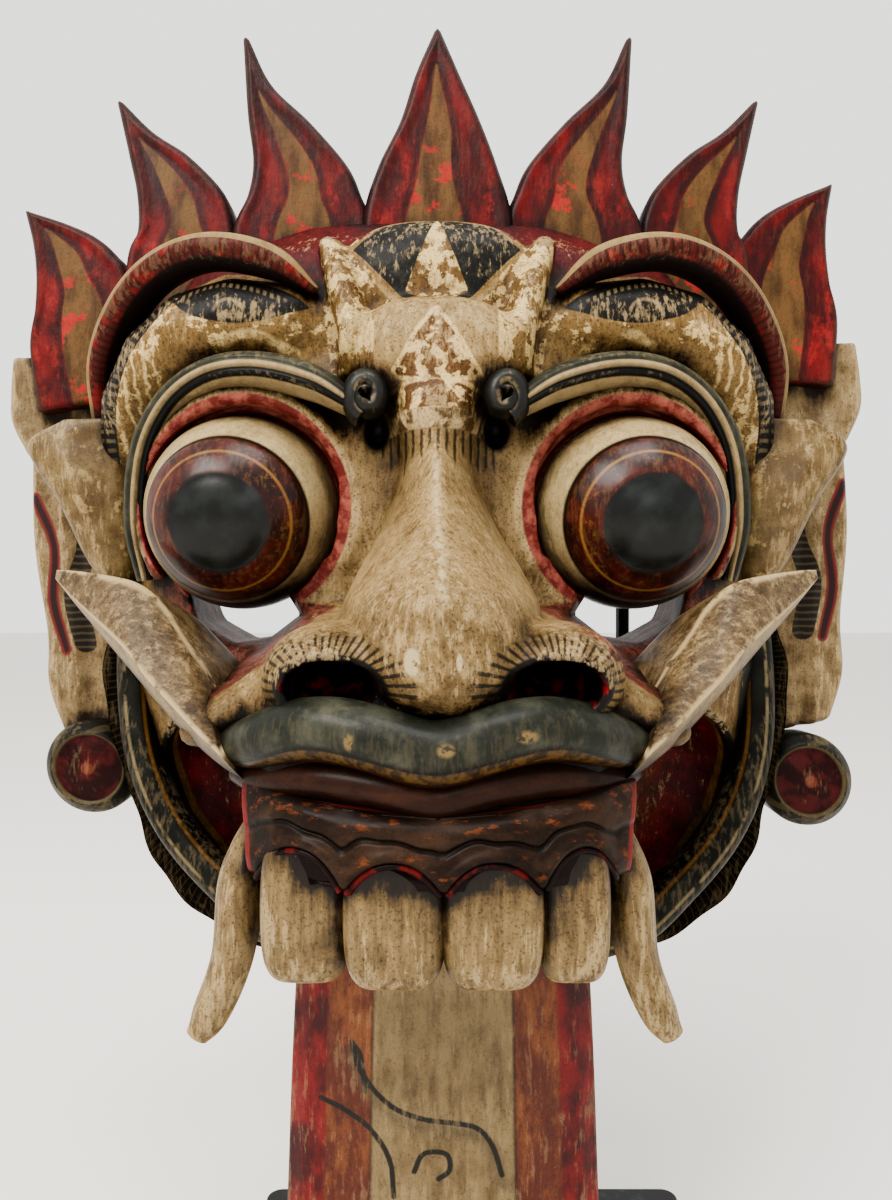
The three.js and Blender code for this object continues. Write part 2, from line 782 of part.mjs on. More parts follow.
// The origin is under the middle of the whole object, on the surface that the plate stands on.
const bounds = new THREE.Box3().setFromObject(group);
const middle = bounds.getCenter(new THREE.Vector3());
group.position.set(-middle.x, -middle.y, -bounds.min.z);

export default group;
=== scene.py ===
"""The look of a carved and painted wooden dragon mask on its metal stand.

Objects are in metres, in the solids' frame. The carving is drawn in millimetres, and SHIFT lies between.
"""

import bpy
import numpy as np
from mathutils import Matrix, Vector


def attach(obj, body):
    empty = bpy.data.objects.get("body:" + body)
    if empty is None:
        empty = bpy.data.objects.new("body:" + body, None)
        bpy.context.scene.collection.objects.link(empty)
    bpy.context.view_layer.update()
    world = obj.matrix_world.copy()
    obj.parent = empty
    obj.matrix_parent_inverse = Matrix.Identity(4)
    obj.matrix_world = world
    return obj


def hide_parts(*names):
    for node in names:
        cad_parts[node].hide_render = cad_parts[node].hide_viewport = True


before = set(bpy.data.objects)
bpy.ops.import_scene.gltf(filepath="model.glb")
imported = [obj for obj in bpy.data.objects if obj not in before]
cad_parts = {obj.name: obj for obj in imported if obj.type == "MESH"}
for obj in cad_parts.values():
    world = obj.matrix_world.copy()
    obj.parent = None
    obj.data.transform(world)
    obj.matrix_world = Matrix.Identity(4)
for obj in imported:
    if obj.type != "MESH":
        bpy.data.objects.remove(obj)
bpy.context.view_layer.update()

# The carving is laid out round the middle of the eyes. EYE and BALL are the eyeballs' distance from it and
# their radius. The head leans sideways by LEAN about the height BROW.
SHIFT = np.array([0.63, -6.969, 227.2])
EYE = 53.5
BALL = 26.5
BROW = 44.0
LEAN = 0.035
SIDES = (1, -1)
CARVED = []
# The head's field of distances: its room and step. Its mesh is parted at the depth FLANK.
ROOM = (-112, -78, -112), (118, 79, 122)
GRID = 1.2
FLANK = 24


def leant(points, rise=0.0):
    """The sideways lean that the carver's hand gave the jaw, ears and outer flames"""
    moved = points.copy()
    moved[:, 2] += rise * points[:, 0]
    moved[:, 0] -= LEAN * (points[:, 2] - BROW)
    return moved


# Meshes


def mesh_object(name, points, faces, material, node, attributes):
    """An object from points in the carving's millimetres and equal-sized faces"""
    mesh = bpy.data.meshes.new(name)
    faces = np.asarray(faces, dtype=np.int32)
    sides = faces.shape[1]
    mesh.vertices.add(len(points))
    mesh.vertices.foreach_set("co", ((points + SHIFT) / 1000).astype(np.float32).ravel())
    mesh.loops.add(faces.size)
    mesh.loops.foreach_set("vertex_index", faces.ravel())
    mesh.polygons.add(len(faces))
    mesh.polygons.foreach_set("loop_start", np.arange(0, faces.size, sides, dtype=np.int32))
    mesh.polygons.foreach_set("use_smooth", np.ones(len(faces), dtype=bool))
    mesh.update(calc_edges=True)
    for key, values in attributes.items():
        layer = mesh.attributes.new(key, "FLOAT", "POINT")
        layer.data.foreach_set("value", np.asarray(values, dtype=np.float32))
    mesh.materials.append(material)
    made = bpy.data.objects.new(name, mesh)
    bpy.context.scene.collection.objects.link(made)
    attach(made, "root")
    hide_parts(node)
    CARVED.append(made)
    return made


def joined(parts):
    """Several (points, quads, attributes) as one"""
    offset = 0
    faces = []
    for points, quads, _ in parts:
        faces.append(np.asarray(quads) + offset)
        offset += len(points)
    keys = parts[0][2].keys()
    attributes = {key: np.concatenate([part[2][key] for part in parts]) for key in keys}
    return np.concatenate([part[0] for part in parts]), np.concatenate(faces), attributes


def mirrored(part):
    points, quads, attributes = part
    return points * [-1, 1, 1], np.asarray(quads)[:, ::-1], attributes


def moved(part, change):
    return change(part[0]), part[1], part[2]


def spline(stops, count):
    """A smooth curve through rows of numbers, sampled evenly in its own parameter"""
    stops = np.asarray(stops, dtype=float)
    padded = np.vstack([2 * stops[0] - stops[1], stops, 2 * stops[-1] - stops[-2]])
    t = np.linspace(0, len(stops) - 1, count)
    i = np.minimum(t.astype(int), len(stops) - 2)
    f = (t - i)[:, None]
    a, b, c, d = (padded[i + k] for k in range(4))
    return 0.5 * (2 * b + (c - a) * f + (2 * a - 5 * b + 4 * c - d) * f**2 + (3 * b - a - 3 * c + d) * f**3)


def hump(value, middle, width):
    """1 at the middle, falling off smoothly to both sides"""
    return np.exp(-(((value - middle) / width) ** 2))


def rounding(gap, reach):
    """How far an edge is drawn back, for the distance from it"""
    return reach * np.clip(1 - gap / reach, 0, 1) ** 2


def unit(vectors):
    return vectors / np.maximum(np.linalg.norm(vectors, axis=-1, keepdims=True), 1e-9)


def grid_quads(rows, columns, closed):
    """Quads over a grid of points, round a closed row or across an open one"""
    r, c = np.meshgrid(np.arange(rows - 1), np.arange(columns if closed else columns - 1), indexing="ij")
    n = (c + 1) % columns
    return np.stack([r * columns + c, r * columns + n, (r + 1) * columns + n, (r + 1) * columns + c],
                    -1).reshape(-1, 4)


def capped(rings):
    """Points and quads of a closed skin over rings, with both ends drawn in to their middles"""
    count = rings.shape[1]
    first, last = rings[0].mean(0), rings[-1].mean(0)
    ends = [first + (rings[0] - first) * k for k in (0.001, 0.5)]
    tips = [last + (rings[-1] - last) * k for k in (0.5, 0.001)]
    stack = np.concatenate([np.array(ends), rings, np.array(tips)])
    return stack.reshape(-1, 3), grid_quads(len(stack), count, True), len(ends)


def bar(stops, steps=60, sides=24, bulge=None):
    """A rounded bar along a curve, like the solids' bars: each stop is [x, y, z, half width, half depth]"""
    path = spline(stops, steps)
    middle = path[:, :3]
    size = np.maximum(path[:, 3:5], 0.2)
    u = np.linspace(0, 1, steps)
    along = unit(np.gradient(middle, axis=0))
    across = unit(np.cross(along, [0, 1, 0]))
    deep = unit(np.cross(across, along))
    angle = np.linspace(0, 2 * np.pi, sides, endpoint=False)
    c, f = np.cos(angle), np.sin(angle)
    wide, high = np.tile(c, (steps, 1)), np.tile(f, (steps, 1))
    if bulge is not None:
        swell = bulge(np.tile(u[:, None], (1, sides)), wide, high)
        wide, high = wide * swell, high * swell
    rings = middle[:, None] + across[:, None] * (size[:, :1] * wide)[..., None]
    rings = rings + deep[:, None] * (size[:, 1:] * high)[..., None]
    points, quads, extra = capped(rings)
    spread = np.concatenate([np.zeros(extra), u, np.ones(extra)])
    attributes = {"u": np.repeat(spread, sides), "c": np.tile(c, len(spread)), "f": np.tile(f, len(spread))}
    return points, quads, attributes


def ball(centre, radii, power=2.0, across=48, down=32, axis=None):
    """A ball or rounded box, its poles along z or an axis. theta is the angle from the pole, phi round it"""
    theta, phi = np.meshgrid(np.linspace(0.001, np.pi - 0.001, down),
                             np.linspace(0, 2 * np.pi, across, endpoint=False),
                             indexing="ij")
    direction = np.stack([np.sin(theta) * np.cos(phi), np.sin(theta) * np.sin(phi), np.cos(theta)], -1)
    length = (np.abs(direction) ** power).sum(-1, keepdims=True) ** (1 / power)
    direction = direction / length
    if axis is not None:
        pole = unit(np.asarray(axis, dtype=float))
        side = unit(np.cross([0, 0, 1], pole))
        up = np.cross(pole, side)
        direction = direction @ np.array([side, up, pole])
    points = (direction * radii + centre).reshape(-1, 3)
    quads = grid_quads(down, across, True)[:, ::-1]
    return points, quads, {"theta": theta.ravel(), "phi": phi.ravel()}


def sheet(left, right, profile, rows=60, columns=28, front=0.0):
    """A carved board between two curves in x and z. profile gives its front and back, s across, t up"""
    a, b = spline(left, rows), spline(right, rows)
    s = np.linspace(-1, 1, columns)
    t = np.linspace(0, 1, rows)
    S, T = np.meshgrid(s, t)
    flat = a[:, None] * (1 - S[..., None]) / 2 + b[:, None] * (1 + S[..., None]) / 2
    width = np.linalg.norm(b - a, axis=1)[:, None] / 2
    fore, back = profile(S, T, width)
    fore_points = np.stack([flat[..., 0], front + fore, flat[..., 1]], -1)
    back_points = np.stack([flat[..., 0], front + back, flat[..., 1]], -1)[:, ::-1]
    rings = np.concatenate([fore_points, back_points], axis=1)
    points, quads, extra = capped(rings)
    ring_s = np.concatenate([s, s[::-1]])
    spread = np.concatenate([np.zeros(extra), t, np.ones(extra)])
    side = np.concatenate([np.ones(columns), -np.ones(columns)])
    attributes = {
        "s": np.tile(ring_s, len(spread)),
        "t": np.repeat(spread, 2 * columns),
        "f": np.tile(side, len(spread)),
    }
    return points, quads, attributes


def outward(part):
    """The same part with its faces turned out"""
    points, quads, attributes = part
    a, b, c, d = (points[quads[:, k]] for k in range(4))
    volume = (np.cross(b - a, c - a) * a).sum() + (np.cross(c - a, d - a) * a).sum()
    return (points, quads, attributes) if volume > 0 else (points, quads[:, ::-1], attributes)


# The head is one field of distances, meshed at the end


class Field:
    """Distances on a grid, negative inside"""

    def __init__(self, low, high, step):
        self.low, self.step = np.array(low, dtype=float), step
        axes = [np.arange(a, b + step, step, dtype=np.float32) for a, b in zip(low, high)]
        self.axes = axes
        self.d = np.full([len(a) for a in axes], 30.0, dtype=np.float32)

    def part(self, low, high):
        spans = []
        for axis, a, b in zip(self.axes, low, high):
            spans.append(slice(int(np.searchsorted(axis, a)), int(np.searchsorted(axis, b))))
        x, y, z = (axis[span] for axis, span in zip(self.axes, spans))
        return tuple(spans), x[:, None, None], y[None, :, None], z[None, None, :]

    def add(self, shape, low, high, blend):
        spans, x, y, z = self.part(low, high)
        old, new = self.d[spans], shape(x, y, z)
        self.d[spans] = smooth_min(old, new, blend)

    def cut(self, shape, low, high, blend):
        spans, x, y, z = self.part(low, high)
        old, new = self.d[spans], -shape(x, y, z)
        self.d[spans] = -smooth_min(-old, -new, blend)


def smooth_min(a, b, blend):
    if blend <= 0:
        return np.minimum(a, b)
    h = np.clip(0.5 + 0.5 * (b - a) / blend, 0, 1)
    return b * (1 - h) + a * h - blend * h * (1 - h)


def ellipsoid(centre, radii, power=2.0):
    def shape(x, y, z):
        parts = [np.abs((v - c) / r) for v, c, r in zip((x, y, z), centre, radii)]
        k = sum(p**power for p in parts) ** (1 / power)
        g = np.sqrt(sum((p ** (power - 1) / r) ** 2 for p, r in zip(parts, radii)))
        return np.asarray((k - 1) * k ** (power - 1) / np.maximum(g, 1e-4), dtype=np.float32)

    return shape


def tube(points, radii, flat=1.0):
    """A tube through points, with its depth along y multiplied by flat"""
    def shape(x, y, z):
        best = None
        for (a, b), (ra, rb) in zip(zip(points, points[1:]), zip(radii, radii[1:])):
            ab = [(q - p) / (flat if k == 1 else 1) for k, (p, q) in enumerate(zip(a, b))]
            ap = [x - a[0], (y - a[1]) / flat, z - a[2]]
            t = np.clip(sum(p * q for p, q in zip(ap, ab)) / sum(q * q for q in ab), 0, 1)
            gap = np.sqrt(sum((p - q * t) ** 2 for p, q in zip(ap, ab))) - (ra + (rb - ra) * t)
            best = gap if best is None else np.minimum(best, gap)
        return best.astype(np.float32)

    return shape


def levels_shape(levels, back):
    """The dome given by level rings: [height, half width, front, squareness]"""
    table = np.array(levels, dtype=float)

    def shape(x, y, z):
        width, front, power = (np.interp(z, table[:, 0], table[:, k]) for k in (1, 2, 3))
        deep = back - front
        px = np.abs((x + LEAN * (z - BROW)) / width)
        py = np.maximum(back - y, 0) / deep
        k = (px**power + py**power + 1e-9) ** (1 / power)
        g = np.sqrt((px ** (power - 1) / width) ** 2 + (py ** (power - 1) / deep) ** 2)
        side = (k - 1) * k ** (power - 1) / np.maximum(g, 1e-3)
        ends = np.maximum(table[0, 0] - z, z - table[-1, 0])
        return np.maximum(np.maximum(np.minimum(side, 25), ends), y - back).astype(np.float32)

    return shape


def polygon_distance(x, z, corners):
    """Signed distance to a polygon in the x-z plane, negative inside"""
    best = np.full(np.broadcast(x, z).shape, 1e9)
    inside = np.zeros(best.shape, dtype=bool)
    previous = corners[-1]
    for corner in corners:
        ex, ez = corner[0] - previous[0], corner[1] - previous[1]
        wx, wz = x - previous[0], z - previous[1]
        t = np.clip((wx * ex + wz * ez) / (ex * ex + ez * ez), 0, 1)
        best = np.minimum(best, (wx - ex * t) ** 2 + (wz - ez * t) ** 2)
        crosses = (previous[1] > z) != (corner[1] > z)
        slope = (corner[0] - previous[0]) / (corner[1] - previous[1] + 1e-12)
        inside ^= crosses & (x < previous[0] + (z - previous[1]) * slope)
        previous = corner
    best = np.sqrt(best)
    return np.where(inside, -best, best)


def lofted(slices, side=1):
    """A loft between polygons at stated depths: slices are (y, corners)"""
    depths = [s[0] for s in slices]
    paths = np.array([s[1] for s in slices], dtype=float).swapaxes(0, 1)

    def shape(x, y, z):
        out = np.empty(np.broadcast(x, y, z).shape, dtype=np.float32)
        flat_x, flat_z = x[:, 0, :] * side, z[:, 0, :]
        for j, depth in enumerate(y[0, :, 0]):
            now = [[np.interp(depth, depths, line) for line in corner.T] for corner in paths]
            out[:, j, :] = polygon_distance(flat_x, flat_z, now)
        return out

    return shape


def surface(field):
    """The zero surface of a field as quads"""
    d = field.d
    inside = d < 0
    count = np.zeros([n - 1 for n in d.shape], dtype=np.int8)
    for corner in np.ndindex(2, 2, 2):
        count += inside[tuple(slice(c, c + n) for c, n in zip(corner, count.shape))]
    active = (count > 0) & (count < 8)
    cells = np.argwhere(active)
    index = np.full(count.shape, -1, dtype=np.int32)
    index[active] = np.arange(len(cells), dtype=np.int32)
    total, hits = np.zeros((len(cells), 3)), np.zeros(len(cells))
    for start in np.ndindex(2, 2, 2):
        for axis in range(3):
            if start[axis]:
                continue
            end = list(start)
            end[axis] = 1
            a = d[tuple((cells + start).T)]
            b = d[tuple((cells + end).T)]
            cross = (a < 0) != (b < 0)
            share = np.where(cross, a / np.where(cross, a - b, 1), 0)
            point = np.tile(np.array(start, dtype=float), (len(cells), 1))
            point[:, axis] += share
            total += np.where(cross[:, None], point, 0)
            hits += cross
    points = field.low + (cells + total / hits[:, None]) * field.step
    quads = []
    for axis, (p, q) in enumerate([(1, 2), (2, 0), (0, 1)]):
        low = [slice(1, -1)] * 3
        high = [slice(1, -1)] * 3
        low[axis], high[axis] = slice(0, -1), slice(1, None)
        first, second = inside[tuple(low)], inside[tuple(high)]
        edges = np.argwhere(first != second)
        leaving = first[tuple(edges.T)]
        base = edges + 1
        base[:, axis] -= 1
        ring = []
        for dp, dq in ((-1, -1), (0, -1), (0, 0), (-1, 0)):
            cell = base.copy()
            cell[:, p] += dp
            cell[:, q] += dq
            ring.append(index[tuple(cell.T)])
        ring = np.stack(ring, -1)
        ring[~leaving] = ring[~leaving][:, ::-1]
        quads.append(ring)
    quads = np.concatenate(quads)
    return points, quads[(quads >= 0).all(1)]


HEAD = [
    [-108, 22, 16, 2.4], [-105, 40, 12, 2.8], [-99, 56, 9, 3], [-86, 76, 7, 3.6], [-66, 89, 5, 4],
    [-45, 96, 2, 4],
    [-20, 100, -4, 3.8], [0, 101, -9, 3], [20, 103, -12, 2.6], [50, 104, -10, 2.6], [80, 100, -3, 2.6],
    [100, 88, 4, 2.6], [110, 74, 13, 2.6], [115, 60, 22, 2.4],
]
HOLLOW = [
    [-88, 44, 64, 2.6], [-70, 66, 62, 3], [-50, 78, 61, 3], [-36, 84, 59, 3], [-22, 88, 46, 3],
    [-6, 90, 24, 2.8],
    [12, 91, 12, 2.6], [50, 93, 12, 2.6], [80, 90, 15, 2.6], [94, 83, 22, 2.6],
]
BACK = 75
MUZZLE = [[34, 54, -52, 2], [-8, 51, -56, 0], [-34, 46, -57, -5], [-48, 42.5, -57, -10], [-57, 35, -56, -15],
          [-61, 24, -55, -20], [-63, 8, -50, -26]]
NOSE = [
    [54, -7, 8, 7], [46, -7, 8.5, 14], [38, -9, 9.5, 20], [28, -11, 11.5, 28], [18, -15, 15.5, 35],
    [8, -20, 20.5, 42],
    [0, -26, 24, 43.5], [-8, -31, 24.5, 39.8], [-15, -35, 23, 35.8], [-20, -38, 20, 31.5],
    [-24, -41, 15, 25], [-26, -44, 6, 12],
]
NOSTRIL = [[-82, 24, -20.5, 11.5, 7.2], [-60, 24, -18.8, 9.8, 6.2], [-50, 24, -17.5, 8, 5.2],
           [-38, 24, -15, 2.8, 2.8],
           [60, 22, 14, 2.8, 2.8]]
SLIT = [
    (-34, [(78, 14), (73.5, -6), (59, -27), (41, -15), (25, -3.5), (36, 14), (56, 20)]),
    (-8, [(73, 9), (69, -6), (57, -17), (45, -12), (36, -4), (41, 9), (56, 13)]),
    (3, [(70.5, 5), (67, -6), (57, -12), (47, -10.5), (38.5, -4), (45, 6), (56, 8)]),
    (60, [(70.5, 5), (67, -6), (57, -12), (47, -10.5), (38.5, -4), (45, 6), (56, 8)]),
]


def muzzle_shape(x, y, z):
    table = np.array(MUZZLE[::-1], dtype=float)
    width, low, high = (np.interp(y, table[:, 0], table[:, k]) for k in (1, 2, 3))
    px, pz = np.abs(x / width), np.abs((z - (low + high) / 2) / ((high - low) / 2))
    k = (px**3.4 + pz**3.4 + 1e-9) ** (1 / 3.4)
    side = (k - 1) * np.minimum(width, (high - low) / 2)
    return np.maximum(side, np.maximum(-63.5 - y, y - 34)).astype(np.float32)


def nose_shape(x, y, z):
    table = np.array(NOSE[::-1], dtype=float)
    middle, width, deep = (np.interp(z, table[:, 0], table[:, k]) for k in (1, 2, 3))
    centre = np.interp(z, [-20, 40], [2.0, 0.0])
    power = np.interp(z, [-12, 6, 26], [2.1, 1.6, 1.3])
    px, py = np.abs((x - centre) / width), np.abs((y - middle) / deep)
    k = (px**power + py**power + 1e-6) ** (1 / power)
    g = np.sqrt((px ** (power - 1) / width) ** 2 + (py ** (power - 1) / deep) ** 2)
    side = (k - 1) * k ** (power - 1) / np.maximum(g, 1e-3)
    return np.maximum(np.clip(side, -12, 25), np.maximum(-26 - z, z - 54)).astype(np.float32)


def nostril_shape(side):
    table = np.array(NOSTRIL, dtype=float)

    def shape(x, y, z):
        cx, cz, rx, rz = (np.interp(y, table[:, 0], table[:, k]) for k in (1, 2, 3, 4))
        px, pz = ((x - 2) * side - cx) / rx, (z - cz) / rz
        return ((np.sqrt(px**2 + pz**2) - 1) * np.minimum(rx, rz)).astype(np.float32)

    return shape


def one_side(side, near, far):
    """The low and high corner of a box on one side of the head"""
    low, high = sorted((side * near[0], side * far[0]))
    return (low, *near[1:]), (high, *far[1:])


def socket_ring(side, grow=0.0):
    """The rim round an eyeball"""
    stops = []
    for degrees in np.linspace(-34, 208, 18):
        angle = np.radians(degrees)
        out, reach = np.cos(angle), 29.4 + grow
        stops.append((side * (EYE - 2 + reach * out), -10 + 7 * out * out + 3 * out,
                      25 + reach * np.sin(angle)))
    return stops


def socket_shape(side):
    ball_room = ellipsoid((side * EYE, 0, 24), (BALL + 1, 29, BALL + 1))
    return lambda x, y, z: np.maximum(ball_room(x, y, z), y - 1.0)


def mouth_cavity(x, y, z):
    return ellipsoid((0, 14, -58), (85, 36, 36), 3.0)(x + LEAN * (z - BROW), y, z)


def head_field():
    f = Field(*ROOM, GRID)
    f.add(levels_shape(HEAD, BACK), *ROOM, 0)
    # the gilded brow over each eye and the swelling between the brows
    for side in SIDES:
        swell = [(28.5, 3, 75), (42, 2.5, 77), (56, 3.5, 77.2), (68, 5.5, 74.6), (79.5, 9.5, 68.4),
                 (90, 16.5, 57.6), (96, 24, 43)]
        f.add(tube([(side * x, y, z) for x, y, z in swell], [7, 11.2, 12.6, 12.6, 11.2, 9, 6.5]),
              *one_side(side, (16, -20, 34), (108, 36, 98)), 5)
    f.cut(mouth_cavity, (-92, -30, -100), (98, 54, -18), 2.5)
    f.add(muzzle_shape, (-62, -72, -64), (62, 40, 10), 4)
    for side in SIDES:
        low, high = sorted((side * 18, side * 92))
        # cheek: from the wing of the nose out and down to the root of the tusk
        f.add(tube([(side * 31, -38, -12), (side * 40, -41, -20), (side * 49, -42, -27.5),
                    (side * 57, -38, -31)],
                   [3.4, 4.2, 4.4, 3], 1.4), (low, -60, -44), (high, -10, 10), 3)
        f.add(ellipsoid((side * 47, -18, -28), (15, 25, 11)), (low, -52, -52), (high, 16, -8), 6)
        f.add(tube(socket_ring(side), [3.1] * 18, 1.4), (low - 2, -40, -12), (high + 2, 24, 66), 3)
        f.cut(socket_shape(side), (low, -40, -8), (high, 6, 56), 1.5)
        f.cut(tube(socket_ring(side, -4.4), [1.9] * 18, 2), (low, -40, -12), (high, 24, 66), 1)
        f.cut(lofted(SLIT, side), (low, -34, -40), (high, 60, 24), 1.5)
    f.add(nose_shape, (-38, -78, -30), (42, 10, 58), 3.5)
    for side in SIDES:
        centre = 2 + side * 24.5
        f.add(ellipsoid((centre, -46, -17.3), (16.2, 20.5, 12.8)), (centre - 24, -74, -36),
              (centre + 24, -20, 2), 1.6)
    for side in SIDES:
        centre = 2 + side * 24
        f.cut(nostril_shape(side), (centre - 16, -78, -30), (centre + 16, -8, 0), 1.6)
    # the rounded mound between the curls, with its raised arch, and the flat leaf-shaped field over it
    f.add(ellipsoid((0, -7, 64), (23, 17, 16.5), 2.5), (-32, -34, 40), (32, 20, 86), 3)
    f.add(ellipsoid((0, -12, 49), (12, 15, 12)), (-20, -36, 32), (20, 10, 66), 4)
    f.add(ellipsoid((0, 4, 87), (28, 15, 18), 2.6), (-36, -20, 62), (36, 26, 110), 3)
    for side in SIDES:
        f.add(tube([(side * 29.5, 0, 97), (side * 25, -6, 84), (side * 22, -10, 72), (side * 23, -8, 61)],
                   [3.6, 4.6, 4.4, 3], 1.5), *one_side(side, (14, -24, 52), (38, 20, 106)), 3)
        f.cut(ellipsoid((side * 16, -19, 45), (4.4, 14, 6.5)), (side * 16 - 10, -40, 32),
              (side * 16 + 10, -2, 58), 1)
    return f


def head_mesh():
    f = head_field()
    f.cut(levels_shape(HOLLOW, BACK + 6), (-112, 0, -112), (118, 79, 122), 2)
    for side in SIDES:
        centre = 2 + side * 23
        f.cut(nostril_shape(side), (centre - 8, -12, -20), (centre + 8, 60, 14), 0.5)
    return surface(f)


# Paint


def rgb(code):
    """A colour from its hex code, as shaders want it"""
    parts = [int(code[k : k + 2], 16) / 255 for k in (0, 2, 4)]
    return tuple(p / 12.92 if p < 0.04045 else ((p + 0.055) / 1.055) ** 2.4 for p in parts) + (1.0,)


CREAM, PALE, PATINA = "C6AF86", (0.98, 0.82, 0.58, 1.0), "6E5A3C"
GOLD, FLAKE = "B0935E", (1.3, 1.08, 0.62, 1.0)
SLATE, BLACK = "333938", "121213"
CRIMSON, BRIGHT, MAROON = "84151E", "C8252E", "43101A"
PINK, LIP, GUM, RUST = "A4575A", "552423", "50312A", "96502C"
OLIVE = "6F5A38"
VARNISH = (0.34, 0.285, 0.19, 1.0)


class Paint:
    """A painted surface, built from shader nodes. Every method gives a socket"""

    def __init__(self, name):
        self.material = bpy.data.materials.new(name)
        self.material.use_nodes = True
        self.nodes, self.links = self.material.node_tree.nodes, self.material.node_tree.links
        self.nodes.clear()
        place = self.nodes.new("ShaderNodeTexCoord").outputs["Object"]
        place = self.vector("SCALE", place, scale=1000.0)
        self.place = self.vector("SUBTRACT", place, tuple(SHIFT))
        split = self.nodes.new("ShaderNodeSeparateXYZ")
        self.links.new(self.place, split.inputs[0])
        self.x, self.y, self.z = split.outputs

    def feed(self, socket, value):
        if isinstance(value, bpy.types.NodeSocket):
            self.links.new(value, socket)
        else:
            socket.default_value = rgb(value) if isinstance(value, str) else value

    def vector(self, operation, a, b=None, scale=None):
        node = self.nodes.new("ShaderNodeVectorMath")
        node.operation = operation
        self.feed(node.inputs[0], a)
        if b is not None:
            self.feed(node.inputs[1], b)
        if scale is not None:
            self.feed(node.inputs["Scale"], scale)
        return node.outputs[0]

    def math(self, operation, a, b=0.0):
        node = self.nodes.new("ShaderNodeMath")
        node.operation = operation
        self.feed(node.inputs[0], a)
        self.feed(node.inputs[1], b)
        return node.outputs[0]

    def add(self, a, b):
        return self.math("ADD", a, b)

    def less(self, a, b):
        return self.math("SUBTRACT", a, b)

    def most(self, a, b):
        return self.math("MAXIMUM", a, b)

    def times(self, a, *others):
        for other in others:
            a = self.math("MULTIPLY", a, other)
        return a

    def size(self, a):
        return self.math("ABSOLUTE", a)

    def get(self, name):
        node = self.nodes.new("ShaderNodeAttribute")
        node.attribute_name = name
        return node.outputs["Fac"]

    def noise(self, size, seed=0.0, detail=3.0, stretch=(1, 1, 1), rough=0.55):
        scaled = self.vector("MULTIPLY", self.place, tuple(1 / (size * s) for s in stretch))
        node = self.nodes.new("ShaderNodeTexNoise")
        self.links.new(self.vector("ADD", scaled, (seed * 7.3, seed * 3.1, seed * 5.7)),
                       node.inputs["Vector"])
        for key, value in (("Scale", 1.0), ("Detail", detail), ("Roughness", rough)):
            node.inputs[key].default_value = value
        return node.outputs["Fac"]

    def rise(self, value, low, high):
        """0 below low, 1 above high"""
        node = self.nodes.new("ShaderNodeMapRange")
        node.interpolation_type = "SMOOTHSTEP"
        self.feed(node.inputs["Value"], value)
        if high < low:
            low, high = high, low
            node.inputs["To Min"].default_value = 1.0
            node.inputs["To Max"].default_value = 0.0
        node.inputs["From Min"].default_value = low
        node.inputs["From Max"].default_value = high
        return node.outputs["Result"]

    def cloud(self, low, high, *noise, **more):
        """Patches of noise: 0 where it lies below low, 1 where it lies above high"""
        return self.rise(self.noise(*noise, **more), low, high)

    def inside(self, name, soft=0.2):
        """1 inside a drawn shape, whose attribute is its distance in millimetres"""
        return self.rise(self.get(name), soft, -soft)

    def stripe(self, value, middle, half, soft=0.25):
        """1 where the value lies within half of the middle"""
        off = self.size(self.less(value, middle))
        return self.rise(off, half + soft, max(half - soft, 0.0))

    def spot(self, x, z, rx, rz, across=None, soft=0.3):
        """1 inside an ellipse seen from the front"""
        px = self.math("DIVIDE", self.less(self.x if across is None else across, x), rx)
        pz = self.math("DIVIDE", self.less(self.z, z), rz)
        r = self.math("SQRT", self.add(self.times(px, px), self.times(pz, pz)))
        return self.rise(r, 1 + soft, 1 - soft)

    def hatch(self, value, pitch, share, wobble=0.6, seed=0.0):
        """Brush strokes along a value, each about the given share of the pitch wide"""
        bent = self.add(self.math("DIVIDE", value, pitch), self.times(self.noise(5, seed, 2), wobble))
        wave = self.size(self.less(self.math("FRACT", bent), 0.5))
        return self.rise(wave, share / 2 + 0.08, share / 2 - 0.08 if share > 0.16 else 0.0)

    def mix(self, mask, below, above, blend="MIX"):
        node = self.nodes.new("ShaderNodeMix")
        node.data_type = "RGBA"
        node.blend_type = blend
        self.feed(node.inputs[0], mask)
        self.feed(node.inputs[6], below)
        self.feed(node.inputs[7], above)
        return node.outputs[2]

    def mottle(self, low, high, below, above, *noise, **more):
        """Two colours in patches of noise"""
        return self.mix(self.cloud(low, high, *noise, **more), below, above)

    def aged(self, colour, dirt_and_shade=0.55, wear=0.35, grain=(1, 1, 5), seed=0.0, worn=PALE):
        """Patina: grime and painted shade in the creases, grime in blotches, fine grain, and crests rubbed
        pale
        """
        crowd = self.add(self.get("cav"), 0.25)
        blotch = self.less(self.noise(9, seed + 1, 7, rough=0.72), 0.5)
        streak = self.less(self.noise(1.3, seed + 3, 4, grain, 0.7), 0.5)
        dirt_and_crease_shade = self.add(self.times(crowd, 0.9), self.add(self.times(blotch, 2.6), self.times(streak, 1.7)))
        # the creases darken with cav: partly grime, partly painted shade
        colour = self.mix(self.times(self.rise(dirt_and_crease_shade, -0.3, 0.65), dirt_and_shade), colour, "7B6E50", "MULTIPLY")
        colour = self.mix(self.times(self.rise(dirt_and_crease_shade, 0.4, 1.1), min(1.0, dirt_and_shade * 1.3)), colour, "43382A",
                          "MULTIPLY")
        rub = self.add(self.times(crowd, -1.8), self.add(self.times(blotch, -1.0), self.times(streak, -2.6)))
        colour = self.mix(self.times(self.rise(rub, 0.22, 0.6), wear), colour, worn)
        chips = self.cloud(0.66, 0.7, 1.7, seed + 6, 5, rough=0.8)
        colour = self.mix(self.times(chips, wear), colour, PALE)
        specks = self.times(self.cloud(0.53, 0.64, 0.7, seed + 2, 3, rough=0.7), min(1.0, dirt_and_shade * 0.9))
        return self.mix(specks, colour, "6B5C40", "MULTIPLY")

